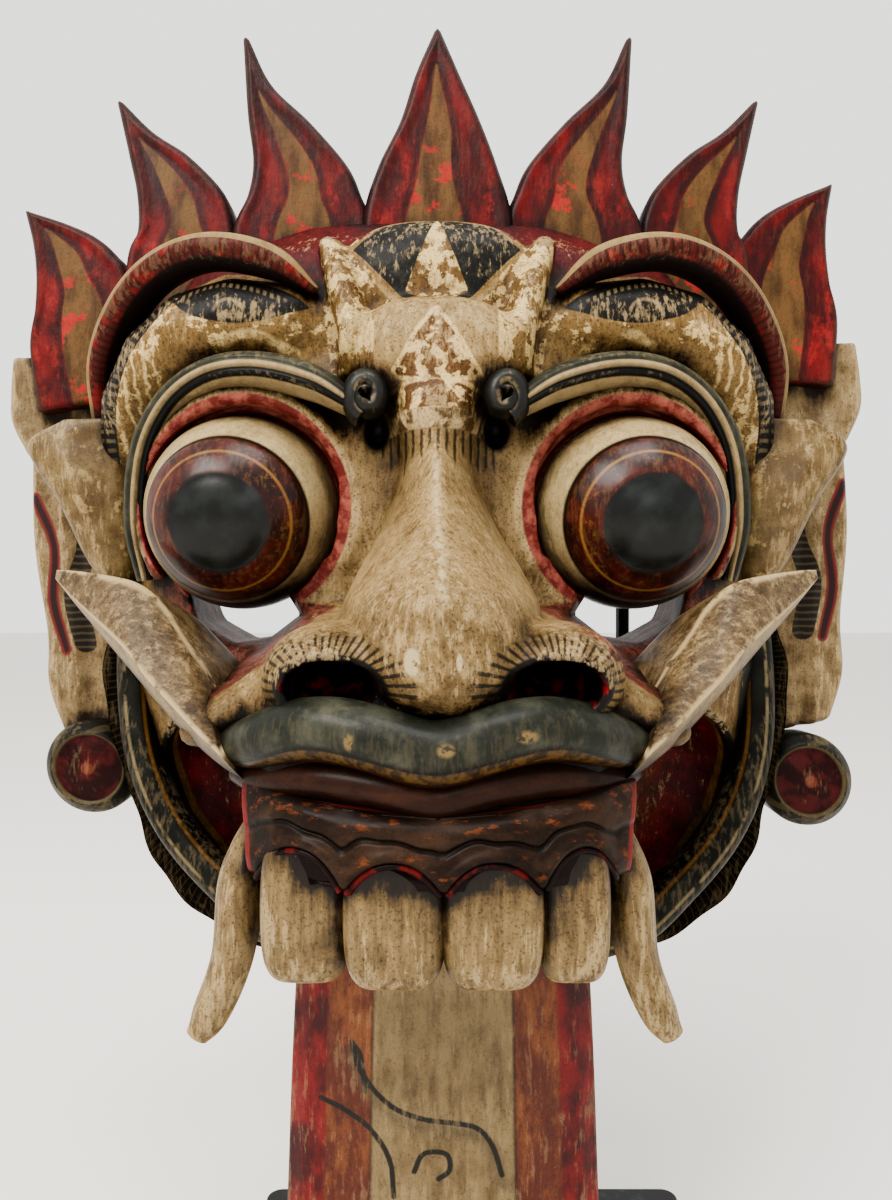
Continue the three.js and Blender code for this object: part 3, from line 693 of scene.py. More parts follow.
    def finish(self, colour, rough=0.5, coat=0, bump=0.12, metal=0.0, grain=(1, 1, 4), spread=0.16,
               varnish=VARNISH, shine=0.1):
        shader = self.nodes.new("ShaderNodeBsdfPrincipled")
        shader.inputs["Specular IOR Level"].default_value = shine
        if varnish:
            colour = self.mix(1.0, colour, varnish, "MULTIPLY")
        self.feed(shader.inputs["Base Color"], colour)
        soft = self.noise(6, 9, 3)
        rough = self.add(self.add(rough, -spread / 2), self.times(soft, spread))
        self.feed(shader.inputs["Roughness"], rough)
        shader.inputs["Metallic"].default_value = metal
        shader.inputs["Coat Weight"].default_value = coat
        shader.inputs["Coat Roughness"].default_value = 0.22
        relief = self.nodes.new("ShaderNodeBump")
        relief.inputs["Strength"].default_value = bump
        relief.inputs["Distance"].default_value = 0.001
        height = self.add(self.noise(0.9, 11, 4, grain, 0.7), self.times(self.noise(5, 12, 3), 1.5))
        self.links.new(height, relief.inputs["Height"])
        self.links.new(relief.outputs["Normal"], shader.inputs["Normal"])
        out = self.nodes.new("ShaderNodeOutputMaterial")
        self.links.new(shader.outputs[0], out.inputs["Surface"])
        return self.material


def head_paint():
    p = Paint("painted_head")
    ax = p.size(p.x)
    # cream nose and cheeks, browner down the sides
    colour = p.mix(p.times(p.rise(ax, 24, 60), 0.7), CREAM, PATINA)
    # darker down the flanks of the nose: partly olive patina, partly painted shade in these hollows
    flank = p.times(p.stripe(ax, 13, 6, 6), p.rise(p.z, 6, 30), p.rise(p.z, 60, 50))
    colour = p.mix(p.times(flank, 0.75), colour, PATINA)
    muzzle = p.times(p.rise(p.y, -42, -60), p.rise(p.z, 14, -8), p.cloud(0.3, 0.6, 7, 6, 5, rough=0.7))
    colour = p.mix(p.times(muzzle, 0.75), colour, PATINA)
    # the sides of the head and the skin between the flames
    side = p.mix(p.noise(20, 5), CRIMSON, MAROON)
    colour = p.mix(p.inside("crown", 0.3), colour, side)
    colour = p.mix(p.times(p.rise(ax, 87, 89), p.rise(p.z, 20, -2)), colour, "252A29")
    # gilded brows with worn pale flakes and strokes, and a painted highlight along the crest over each eye
    flakes = p.rise(p.add(p.noise(7, 21, 4, (1, 1, 1.4), 0.7), p.times(p.get("cav"), -0.35)), 0.51, 0.55)
    gold = p.mix(p.times(p.noise(11, 22), 0.6), GOLD, OLIVE)
    gold = p.mix(p.times(flakes, p.rise(ax, 34, 12)), gold, FLAKE)
    leafing = p.rise(p.add(p.noise(8, 26, 5, (1.4, 1, 1), 0.72), p.times(p.get("cav"), -0.2)), 0.59, 0.63)
    gold = p.mix(leafing, gold, FLAKE)
    strokes = p.times(p.hatch(ax, 3.4, 0.26, 1.2, 23), p.rise(ax, 76, 79), p.cloud(0.42, 0.5, 12, 24))
    gold = p.mix(p.times(strokes, 0.9), gold, FLAKE)
    # a pale broken line along the crest over each eye: painted highlight
    shine = p.times(p.stripe(p.get("crest"), 0.0, 1.1, 0.7), p.cloud(0.4, 0.55, 9, 25))
    gold = p.mix(shine, gold, FLAKE)
    colour = p.mix(p.inside("gold", 0.25), colour, gold)
    # the black lens under the outer brow, with dashes and a small flower, and the band down the temple
    lens = p.get("lens")
    inside = p.rise(lens, 0.2, -0.2)
    colour = p.mix(inside, colour, BLACK)
    arc = p.times(p.stripe(lens, -2.8, 0.75, 0.3), p.hatch(ax, 1.9, 0.5, 0.2, 31), p.rise(p.z, 79.5, 81))
    colour = p.mix(p.times(arc, 0.25), colour, PALE)
    bow = p.times(p.stripe(p.get("flower"), 4.2, 0.45, 0.3), p.rise(p.z, 77, 78.2))
    bow = p.most(bow, p.times(p.rise(p.get("flower"), 1.7, 1.0), p.cloud(0.44, 0.5, 1.2, 33)))
    colour = p.mix(p.times(bow, inside, 0.3), colour, PALE)
    band = p.get("band")
    colour = p.mix(p.rise(band, 0.2, -0.2), colour, BLACK)
    rays = p.times(p.hatch(p.get("along"), 2.6, 0.4, 0.4, 32), p.stripe(band, -2.2, 1.5, 0.4))
    colour = p.mix(p.times(rays, 0.2), colour, PALE)
    # the knob: black half disc, gilded leaf and wings, cream arch
    half_disc = p.get("disc")
    leaf = p.get("leaf")
    knob_gold = p.mottle(0.47, 0.52, "8B6F42", FLAKE, 5.5, 41, 4, rough=0.7)
    colour = p.mix(p.inside("wing", 0.3), colour, knob_gold)
    colour = p.mix(p.rise(half_disc, 0.2, -0.2), colour, p.mottle(0.45, 0.7, BLACK, SLATE, 3, 42))
    colour = p.mix(p.stripe(half_disc, 0.5, 0.5, 0.3), colour, GOLD)
    colour = p.mix(p.rise(leaf, 0.2, -0.2), colour, knob_gold)
    gems = p.get("gem")
    colour = p.mix(p.rise(gems, 0.2, -0.2), colour, p.mottle(0.5, 0.56, "7C5A36", FLAKE, 4, 43, 4))
    colour = p.mix(p.stripe(gems, 0.0, 0.55, 0.3), colour, FLAKE)
    strip = p.times(p.stripe(p.z, 45.5, 2.4, 0.3), p.rise(ax, 13.5, 12.5))
    colour = p.mix(strip, colour, p.mottle(0.45, 0.55, PALE, PATINA, 6, 44))
    # fine black hairs at the root of the nose
    length = p.times(p.noise(2.0, 51, 1, (1, 4, 20)), 16)
    hairs = p.times(p.hatch(p.x, 2.1, 0.36, 0.5, 52), p.rise(p.z, 43.5, 42.5),
                    p.rise(p.less(p.z, p.less(42.0, length)), 0.0, 3.0), p.rise(ax, 17, 15))
    colour = p.mix(p.times(hairs, 0.85), colour, BLACK)
    # the deep pit under each curl is painted black: painted shade in the hole
    pit_shade = p.spot(16, 45, 3.8, 5.6, ax, 0.25)
    colour = p.mix(pit_shade, colour, BLACK)
    # round each eye: light rim outside, red ring inside
    ring = p.get("ring")
    front = p.times(p.rise(p.y, 14, 10), p.rise(p.get("scoop"), 0.4, 0.9))
    near = p.times(p.rise(ring, 36, 34), p.rise(p.z, 62, 58))
    rim = p.mix(p.noise(4, 61), PALE, CREAM)
    colour = p.mix(p.times(p.rise(ring, 32.4, 31.4), front, 0.8), colour, rim)
    # the pink lower lids
    pink = p.mottle(0.36, 0.62, "85504A", "553A32", 8, 65, 4, (1, 1, 0.6))
    pink = p.mix(p.stripe(p.noise(5, 66), 0.5, 0.03, 0.03), pink, PINK)
    lid = p.get("lid")
    scoop = p.times(p.most(p.times(p.rise(p.get("scoop"), 0.75, 0.35), p.rise(ax, 36, 40)),
                           p.rise(lid, 0.3, -0.3)),
                    p.rise(p.y, 48, 36))
    colour = p.mix(p.times(scoop, p.rise(p.z, 16, 12)), colour, pink)
    edge = p.times(p.stripe(lid, 0.2, 0.4, 0.35), p.rise(p.z, 2, -3), p.rise(p.y, 2, -2))
    colour = p.mix(p.times(edge, 0.7), colour, "8E3A3C")
    # nostrils: lashes, near-black painted shade round and inside each opening, and red on their floors
    bore = p.get("bore")
    low = p.rise(p.z, -30, -27)
    lashes = p.times(p.hatch(p.get("turn"), 0.15, 0.4, 0.0),
                     p.rise(p.add(bore, p.times(p.noise(1.5, 71), 4)), 8.0, 6.6))
    lashes = p.times(lashes, p.rise(bore, 0.8, 1.4), p.rise(p.y, -34, -40), p.rise(p.z, -27, -25),
                     p.rise(p.z, -2, -6))
    colour = p.mix(p.times(lashes, 0.9), colour, BLACK)
    # painted shade: a near-black band round the front of each opening
    colour = p.mix(p.times(p.rise(bore, 1.9, 1.2), p.rise(p.y, -30, -36), low), colour, "1A1B1C")
    # red on the nostrils' floors, near-black higher up as painted shade
    red = p.mix(p.times(p.cloud(0.48, 0.6, 4, 72), p.rise(p.z, -15, -21)), "1C0508", "C01830")
    colour = p.mix(p.rise(bore, 0.75, 0.45), colour, red)
    # gum and palate, the deep red mouth with its ochre border
    gum = p.mix(p.noise(6, 81), GUM, LIP)
    colour = p.mix(p.times(p.rise(p.z, -28, -31), p.rise(ax, 47, 45), p.rise(p.y, 34, 30)), colour, gum)
    mouth = p.mottle(0.42, 0.66, "4E080E", "8E0E18", 14, 82, 4)
    border = p.mix(p.noise(4, 83), "6A4A1C", "A07C38")
    mouth = p.mix(p.stripe(p.get("skin"), -5.6, 1.1, 0.5), mouth, border)
    mouth = p.mix(p.rise(p.get("skin"), -4.6, -4.0), mouth, BLACK)
    colour = p.mix(p.times(p.rise(p.get("mouth"), 2.4, 1.4), p.rise(p.z, -14, -18), p.rise(p.y, 54, 50)),
                   colour, mouth)
    # plain stain towards the back
    plain = p.mix(p.rise(p.z, 20, 60), "6A5638", side)
    colour = p.mix(p.rise(p.y, 40, 50), colour, plain)
    # the hollow back is bare stained wood
    bare = p.mix(p.noise(4, 91, 4, (1, 1, 8)), "8A6844", "5E4430")
    colour = p.mix(p.get("bare"), colour, bare)
    colour = p.aged(colour, 0.8, 0.42, (1, 1, 3.5))
    reds = p.mottle(0.4, 0.62, "7A262A", "C8706C", 5, 62, 5, rough=0.7)
    colour = p.mix(p.times(p.rise(ring, 30.1, 29.4), front, near), colour, reds)
    colour = p.mix(p.times(p.rise(p.get("socket"), 0.9, 0.5), near), colour, "6E1A20")
    # a painted highlight down the crest of the nose, and the white chips on its ball
    crest = p.stripe(p.less(p.x, p.times(p.rise(p.z, 35, -5), 1.8)), 0.0, 0.8, 0.9)
    crest = p.times(crest, p.rise(p.z, -8, 0), p.rise(p.z, 38, 30),
                    p.cloud(0.42, 0.56, 1.6, 17, 4, (1, 1, 2.5)))
    chips = p.most(p.spot(-4.3, -12.5, 1.6, 2.8, soft=0.2), p.spot(5.2, -12.5, 0.6, 1.8, soft=0.2))
    chips = p.times(chips, p.cloud(0.36, 0.44, 1.2, 18, 4), p.rise(p.y, -55, -60))
    colour = p.mix(p.most(p.times(crest, 0.8), chips), colour, "F2E8CE")
    return p.finish(colour, 0.5, 0.03, 0.3, spread=0.3, shine=0.05)


def bone_paint(p):
    """Teeth and fangs: cream with long brown streaks"""
    streak = p.noise(1.6, 14, 5, (1, 1, 7), 0.6)
    colour = p.mix(p.rise(streak, 0.4, 0.75), "A8946E", "74603F")
    return p.aged(colour, 0.75, 0.45, (1, 1, 7), 4)


def tusk_paint(p):
    v = p.get("v")
    colour = p.mottle(0.38, 0.7, "86745A", "574732", 3, 14, 5, (1, 1, 2), 0.6)
    colour = p.mix(p.rise(p.stripe(v, 0.12, 0.07, 0.02), 0.0, 1.0), colour, "B4A27E")
    colour = p.aged(colour, 0.85, 0.3, (2, 1, 2), 4)
    # pale broken lines along the front crest and the top edge: painted highlights
    crest = p.most(p.stripe(v, 0.2, 0.012, 0.012), p.times(p.stripe(v, 0.4, 0.01, 0.01), 0.7))
    return p.mix(p.times(crest, p.cloud(0.34, 0.46, 5, 15)), colour, PALE)


def tooth_paint(p):
    colour = bone_paint(p)
    # darker towards the top of each tooth: painted shade under the gum
    shade_under_gum = p.rise(p.get("theta"), 1.2, 0.5)
    return p.mix(p.times(shade_under_gum, 0.3), colour, "5A4A38", "MULTIPLY")


def roll_paint(p):
    c = p.get("c")
    colour = p.mottle(0.4, 0.7, SLATE, "50564F", 6, 1)
    colour = p.mix(p.rise(c, -0.12, -0.2), colour, BLACK)
    cream = p.mix(p.noise(5, 2), (0.8, 0.68, 0.48, 1.0), "A0906E")
    colour = p.mix(p.stripe(c, 0.04, 0.2, 0.06), colour, cream)
    colour = p.mix(p.rise(c, -0.6, -0.68), colour, cream)
    return p.aged(colour, 0.35, 0.12)


def curl_paint(p):
    c = p.get("c")
    # a pale broken stripe along each curl: painted highlight on its dark paint
    colour = p.mix(p.times(p.stripe(c, 0.2, 0.2, 0.12), p.cloud(0.4, 0.55, 3, 2)), "1B1E1E", "8E8268")
    return p.aged(colour, 0.5, 0.1)


def brow_paint(p):
    c = p.get("c")
    u = p.get("u")
    colour = p.mix(p.times(p.hatch(u, 0.02, 0.34, 0.25, 5), 0.6), "5A2222", "24100F")
    colour = p.mix(p.times(p.cloud(0.52, 0.62, 7, 6), 0.35), colour, BRIGHT)
    edge = p.mix(p.noise(5, 7), "D0BC92", "8E7A54")
    colour = p.mix(p.rise(c, 0.28, 0.4), colour, edge)
    colour = p.mix(p.rise(c, -0.55, -0.7), colour, "1D1213")
    return p.aged(colour, 0.3, 0.1)


def rim_paint(p):
    c = p.get("c")
    colour = p.mottle(0.4, 0.65, "1E2323", "121414", 8, 1)
    line = p.times(p.stripe(c, 0.3, 0.09, 0.06), p.cloud(0.36, 0.5, 6, 4, 4))
    colour = p.mix(p.times(line, 0.8), colour, "8F8A78")
    colour = p.mix(p.rise(c, -0.45, -0.5), colour, "0E0D0C")
    colour = p.mix(p.stripe(c, -0.62, 0.07, 0.05), colour, p.mix(p.noise(5, 3), "7A5A24", "4A3018"))
    return p.aged(colour, 0.3, 0.08)


def beard_paint(p):
    strokes = p.hatch(p.get("u"), 0.0065, 0.2, 0.4, 8)
    colour = p.mix(p.times(strokes, 0.3), "0F0D0C", "4A4336")
    return p.aged(colour, 0.3, 0.04)


def lip_paint(p):
    c, f, u = p.get("c"), p.get("f"), p.get("u")
    turn = p.math("ARCTAN2", c, p.times(f, -1.0))
    wave = p.times(p.math("SINE", p.times(u, 22.0)), 0.06)
    turn = p.add(turn, wave)
    slate = p.mottle(0.42, 0.72, "262D2C", "4C5452", 7, 2)
    ochre = p.mottle(0.4, 0.6, "6A5228", "382812", 1.6, 3, 4, (1, 1, 3))
    colour = p.mix(p.rise(turn, -0.3, -0.5), slate, BLACK)
    colour = p.mix(p.rise(turn, -0.52, -0.58), colour, ochre)
    colour = p.mix(p.rise(turn, -0.92, -1.0), colour, "3A201C")
    ovals = p.most(p.spot(-17, -28.5, 1.0, 1.6, soft=0.4), p.spot(2.5, -30, 1.7, 1.2, soft=0.4))
    ovals = p.most(ovals, p.spot(19, -27.5, 2.0, 1.2, soft=0.4))
    colour = p.mix(p.times(ovals, p.cloud(0.36, 0.5, 1.5, 5), 0.7), colour, "A8946A")
    return p.aged(colour, 0.3, 0.03)


def inner_lip_paint(p):
    colour = p.mottle(0.4, 0.7, "331F1B", "4A2D27", 6, 2, 4, (3, 1, 1))
    return p.aged(colour, 0.3, 0.05, (5, 1, 1))


def gum_paint(p):
    t, wave = p.get("t"), p.get("wave")
    colour = p.mottle(0.4, 0.65, "251A17", "44332C", 7, 2, 4, (3, 1, 1))
    scratch = p.cloud(0.55, 0.62, 2.6, 4, 5, (2.2, 1, 0.8), 0.75)
    scratch = p.times(scratch, p.most(p.rise(t, 0.6, 0.85), p.stripe(t, 0.2, 0.08, 0.1)))
    colour = p.mix(p.times(scratch, 0.65), colour, RUST)
    colour = p.mix(p.times(p.stripe(wave, 0.0, 0.03, 0.03), 0.8), colour, "14100F")
    colour = p.mix(p.rise(p.size(p.get("s")), 0.965, 0.98), colour, "8E2A30")
    colour = p.mix(p.rise(t, 0.06, 0.02), colour, "2A1012")
    return p.aged(colour, 0.4, 0.0, (4, 1, 1))


def scallop_paint(p):
    colour = p.mottle(0.48, 0.6, "200C0E", "86161E", 6, 4, 4)
    return p.aged(colour, 0.3, 0.0)


def flame_paint(p):
    s, t = p.size(p.get("s")), p.get("t")
    edge = p.get("edge")
    crimson = p.mottle(0.38, 0.66, "42090F", "800C16", 9, 2, 4, (1, 1, 2))
    glow = p.times(p.cloud(0.5, 0.64, 10, 3, 5, (1, 1, 1.5), 0.7), p.rise(t, 0.8, 0.2), 0.6)
    colour = p.mix(glow, crimson, BRIGHT)
    olive = p.mottle(0.4, 0.65, "7C5E3A", "523A22", 6, 4, 4, (1, 1, 3))
    olive = p.mix(p.times(p.cloud(0.55, 0.6, 9, 5, 4), p.rise(t, 0.6, 0.35), 0.85), olive, "D0242E")
    inner = p.get("inner")
    colour = p.mix(p.times(p.stripe(inner, 1.2, 1.1, 0.9), 0.75), colour, "220A0D")
    colour = p.mix(p.rise(inner, 0.35, -0.35), colour, olive)
    colour = p.mix(p.times(p.rise(p.add(edge, p.times(p.noise(5, 8), 2.4)), 4.4, 2.2), 0.85), colour,
                   "1A080A")
    colour = p.mix(p.times(p.rise(p.add(t, p.times(p.noise(6, 9), 0.2)), 0.88, 1.02), 0.75), colour,
                   "200A0D")
    back = p.inside("f")
    colour = p.mix(p.times(back, 0.8), colour, "4A1A1A")
    return p.aged(colour, 0.42, 0.1, worn="A0604E")


def ear_paint(p):
    cream = p.mottle(0.4, 0.7, "B3A183", "8A7656", 7, 3)
    colour = p.aged(cream, 0.7, 0.5)
    ax = p.size(p.x)
    band = p.get("eband")
    dark = p.mix(p.times(p.hatch(p.z, 2.3, 0.35, 0.5, 6), 0.3), "1E1B19", "8D7F66")
    colour = p.mix(p.rise(band, 0.2, -0.2), colour, dark)
    colour = p.mix(p.stripe(p.get("ered"), 0.0, 1.8, 0.5), colour, "2A0E11")
    colour = p.mix(p.times(p.stripe(p.get("ered"), 1.5, 0.45, 0.3), 0.8), colour, "86202A")
    back = p.inside("f")
    return p.mix(back, colour, p.mix(p.noise(6, 9), "5A4630", "77623F"))


def temple_paint(p):
    colour = p.mottle(0.42, 0.62, "8F7C58", "6E5A34", 9, 3, 4)
    colour = p.mottle(0.57, 0.62, colour, "BBA77C", 6, 5, 4, rough=0.7)
    return p.aged(colour, 0.5, 0.3)


def earring_paint(p):
    theta = p.get("theta")
    scroll = p.math("SINE", p.add(p.times(p.get("phi"), 5.0), p.times(theta, 7.0)))
    slate = p.mix(p.times(p.rise(scroll, 0.6, 0.85), 0.5), "1E2222", "6E6852")
    red = p.mottle(0.42, 0.64, "2A080C", "561820", 6, 3)
    colour = p.mix(p.rise(theta, 0.88, 0.82), slate, red)
    colour = p.mix(p.stripe(theta, 0.9, 0.04, 0.03), colour, "6A6450")
    colour = p.mix(p.rise(theta, 0.15, 0.1), colour, "7E3A34")
    return p.aged(colour, 0.35, 0.1)


def eye_paint(p):
    theta = p.get("theta")
    white = p.aged(p.mix(p.noise(5, 3), "F0E4C4", "C8B68A"), 0.5, 0.55)
    brown = p.mottle(0.4, 0.62, "280C0B", "541C17", 7, 4, 4)
    # gold flecks round the iris, stronger on the half towards the nose as a painted highlight
    fire = p.times(p.cloud(0.54, 0.64, 2.2, 5, 5, rough=0.75), p.stripe(theta, 0.67, 0.1, 0.1), p.get("lit"))
    brown = p.mix(p.times(fire, 0.7), brown, "A8743E")
    brown = p.mix(p.times(p.stripe(theta, 0.71, 0.014, 0.012), 0.8), brown, "B98A4A")
    colour = p.mix(p.rise(theta, 0.91, 0.89), white, p.aged(brown, 0.5, 0.25, worn="8E6A50"))
    colour = p.mix(p.stripe(theta, 0.915, 0.035, 0.02), colour, "141213")
    pupil = p.mottle(0.4, 0.66, "090C0E", "1C2529", 6, 6, 4)
    colour = p.mix(p.rise(theta, 0.5, 0.47), colour, pupil)
    # painted shade over the lower part of the eyeball
    under = p.rise(p.add(p.z, p.times(p.noise(5, 8), 8.0)), 16, 5)
    return p.mix(p.times(under, p.rise(theta, 0.8, 1.05)), colour, "120C0C")


def tongue_paint(p):
    across = p.size(p.less(p.x, 1.7))
    wide = p.get("wide")
    share = p.math("DIVIDE", across, wide)
    centre = p.mottle(0.42, 0.68, "A89778", "7C6B50", 5, 3, 5, (1, 1, 4), 0.7)
    band = p.mottle(0.42, 0.64, "6B3024", "A0603A", 7, 4, 5, (1, 1, 3), 0.7)
    red = p.mottle(0.42, 0.62, "4A0A12", "941620", 8, 5, 4, (1, 1, 2))
    colour = p.mix(p.rise(share, 0.455, 0.47), centre, band)
    colour = p.mix(p.rise(share, 0.74, 0.78), colour, red)
    colour = p.mix(p.times(p.stripe(share, 0.465, 0.012, 0.01), 0.6), colour, "2C1C16")
    colour = p.mix(p.times(p.rise(p.get("swirl_dark"), 3.2, 0.2), 0.55), colour, "5B5448")
    colour = p.mix(p.rise(p.get("swirl"), 0.95, 0.5), colour, "1F1E1C")
    back = p.inside("f")
    colour = p.mix(p.times(back, 0.9), colour, "5A1A1C")
    return p.aged(colour, 0.45, 0.15, (1, 1, 6))


# The head's own mesh, with the drawing that its paint follows


def path_distance(x, z, stops):
    """Distance to a drawn line, and how far along it the nearest point is, in millimetres"""
    best = np.full(len(x), 1e9)
    along = np.zeros(len(x))
    run = 0.0
    for (ax, az), (bx, bz) in zip(stops, stops[1:]):
        ex, ez = bx - ax, bz - az
        length = np.hypot(ex, ez)
        t = np.clip(((x - ax) * ex + (z - az) * ez) / length**2, 0, 1)
        gap = np.hypot(x - ax - ex * t, z - az - ez * t)
        along = np.where(gap < best, run + t * length, along)
        best = np.minimum(best, gap)
        run += length
    return best, along


def head_attributes(points):
    x, y, z = points.T
    ax = np.abs(x)
    lens = spline([(34, 79), (40, 83), (51, 87.3), (63, 88), (74, 83)], 20)
    lower = spline([(74, 83), (67.5, 77.3), (60, 75), (54, 74.3), (44.5, 75.5), (34, 79)], 20)
    temple = [(75, 84), (81.5, 78.5), (88, 71.5), (93.5, 63), (97, 53), (98.5, 42)]
    band, along = path_distance(ax, z, spline(temple, 24))
    gold = [(20, 48), (28, 56), (40, 62), (56, 65), (70, 60), (82, 48), (88, 30), (90, 4), (97, 4),
            (101, 30),
            (103, 50), (100, 69), (91, 83), (78, 92), (62, 95), (45, 91), (33, 84), (30, 98), (22, 100),
            (16, 84), (16, 60)]
    crown = [(0, 95), (20, 95), (33, 84), (45, 91), (62, 95), (78, 92), (91, 83), (100, 69), (103, 50),
             (103, 36),
             (130, 36), (130, 130), (0, 130)]
    disc = [(-23, 95), (-15, 101.5), (0, 104), (15, 101.5), (23, 95), (9, 80), (0, 78), (-9, 80)]
    wing = [(23, 96), (32, 99), (31, 80), (28, 58), (23, 62), (24, 76), (11, 78.5), (18, 86)]
    leaf = [(0, 104), (-3.5, 95), (-8.5, 82), (0, 78), (8.5, 82), (3.5, 95)]
    diamond = [(0, 74.5), (5, 68), (9, 61), (12, 56.5), (0, 55), (-12, 56.5), (-9, 61), (-5, 68)]
    eye_leaf = [(-13, 52), (-7, 55), (0, 56), (7, 55), (13, 52), (11, 47), (0, 47.5), (-11, 47)]
    ridge, _ = path_distance(ax, z, spline([(38.5, 67.2), (45, 70.2), (51, 71.8), (57, 70), (62, 66.5)], 20))
    scoop = np.minimum(*(column(points, lofted(SLIT, side)) for side in SIDES))
    bore = np.minimum(*(nostril_shape(side)(x, y, z) for side in SIDES))
    cavity = mouth_cavity(x, y, z)
    lid = [(80, 12), (78, -6), (70, -21), (60, -25.5), (50, -21), (44, -15.5), (37, -9.5), (31, -4.5),
           (27, -2), (33, -1), (53, 2),
           (66, 6)]
    hollow = levels_shape(HOLLOW, BACK + 6)(x, y, z)
    bore_turn = np.arctan2(z + 18.5, np.abs(x - 2) - 24)
    socket = np.abs(np.sqrt(((ax - EYE) / 27.5) ** 2 + (y / 29) ** 2 + ((z - 24) / 27.5) ** 2) - 1) * 28
    bare = (np.abs(hollow) < 1.2) | (y > 73)
    return {
        "lens": polygon_distance(ax, z, list(lens) + list(lower[1:-1])),
        "flower": np.hypot(ax - 56, z - 76.6), "crown": polygon_distance(ax, z, crown),
        "lid": polygon_distance(ax, z, lid), "band": band - 4.3, "along": along, "crest": ridge,
        "gold": polygon_distance(ax, z, gold), "disc": polygon_distance(x, z, disc),
        "wing": polygon_distance(ax, z, wing), "leaf": polygon_distance(x, z, leaf),
        "gem": np.minimum(polygon_distance(x, z, diamond), polygon_distance(x, z, eye_leaf)),
        "ring": np.hypot(ax - EYE + 1.2, z - 24.6), "scoop": scoop, "bore": bore, "turn": bore_turn,
        "socket": socket, "mouth": np.abs(cavity), "skin": levels_shape(HEAD, BACK)(x, y, z),
        "bare": bare,
    }


def column(points, shape):
    """A lofted shape's distance at loose points"""
    out = np.empty(len(points), dtype=np.float32)
    order = np.argsort(points[:, 1])
    for chunk in np.array_split(order, 160):
        x, y, z = points[chunk].T
        out[chunk] = shape(x[:, None, None], np.array([[[y.mean()]]]), z[:, None, None])[:, 0, 0]
    return out


def head():
    points, quads = head_mesh()
    points = np.ascontiguousarray(points)
    attributes = head_attributes(points)
    inside = attributes["bare"][quads].all(1)
    paint = head_paint()
    flank = ~inside & (points[quads, 1].mean(1) > FLANK)
    for name, part in (("mask_face", quads[~inside & ~flank]), ("mask_flanks", quads[flank]),
                       ("mask_hollow", quads[inside])):
        used = np.unique(part)
        index = np.zeros(len(points), dtype=np.int64)
        index[used] = np.arange(len(used))
        values = {key: value[used] for key, value in attributes.items()}
        mesh_object(name, points[used], index[part], paint, "mask", values)


# The crisp carving set on the head


def both(part):
    return [part, outward(mirrored(part))]


def carve(name, parts, make, slot="painted_wood", node="mask", **surface):
    """A piece from its parts, with the paint that make describes"""
    p = Paint("painted_" + make.__name__.removesuffix("_paint"))
    points, quads, attributes = joined([outward(part) for part in parts])
    mesh_object(name, points, quads, p.finish(make(p), **surface), node, attributes)


FLAMES = [
    dict(inner=[(20, 92), (20, 112), (22.6, 120), (27, 129.5), (38, 142.3), (49.5, 153.5), (56.2, 167)],
         outer=[(63, 88), (61, 110), (56.5, 121), (55, 131), (56.6, 145), (57.9, 167)], front=16, lean=0),
    dict(inner=[(58, 88), (61, 110), (62.5, 118), (66.5, 126), (76.5, 136), (87, 143), (96.2, 152)],
         outer=[(97, 74), (95, 104), (91.8, 113), (92, 124), (94.4, 136), (97.9, 152)], front=23, lean=0),
    dict(inner=[(90, 68), (95, 104), (99.5, 112.5), (106, 118.5), (115, 123), (126.2, 127.1)],
         outer=[(126, 64), (128, 84), (126, 96), (125.2, 107), (125.8, 117), (127.8, 127.1)], front=33,
         lean=0.033),
]
MIDDLE = dict(inner=[(-22, 90), (-22, 112), (-17.6, 127.4), (-11, 141), (-6.4, 155), (-0.9, 167.6)],
              outer=[(22, 90), (22, 112), (17.7, 127.4), (12.6, 141), (6.4, 155), (0.9, 167.6)], front=13,
              lean=0)


def flame(drawn):
    left, right = drawn["inner"], drawn["outer"]
    rows, thick, leaf_top, edge = 90, 13, 0.84, 2.6

    def profile(s, t, width):
        rim = (1 - np.abs(s)) * width
        turned = rounding(rim, edge)
        dish = 0.9 * np.clip(rim / 5, 0, 1)
        return turned + dish - 0.3, thick - turned

    points, quads, attributes = sheet(left, right, profile, rows, 44, drawn["front"])
    s, t = attributes["s"], attributes["t"]
    half = np.linalg.norm(spline(right, rows) - spline(left, rows), axis=1) / 2
    width = np.interp(t, np.linspace(0, 1, rows), half)
    flare = 0.37 * np.sqrt(np.clip(1 - (t / leaf_top) ** 1.5, 0, 1)) * (1 + 0.14 * np.sin(t * 13))
    attributes["edge"] = (1 - np.abs(s)) * width
    attributes["inner"] = np.where(t < leaf_top, (np.abs(s + 0.04) - flare) * width, 3.0)
    made = outward((points, quads, attributes))
    return moved(made, lambda p: leant(p, drawn["lean"])) if drawn["lean"] else made


def flames():
    parts = [flame(MIDDLE)]
    for drawn in FLAMES:
        made = flame(drawn)
        if drawn["lean"]:
            points, quads, attributes = flame(dict(drawn, lean=0))
            other = mirrored((points, quads, attributes))
            parts += [made, outward(moved(other, lambda p: leant(p, drawn["lean"])))]
        else:
            parts += both(made)
    return parts


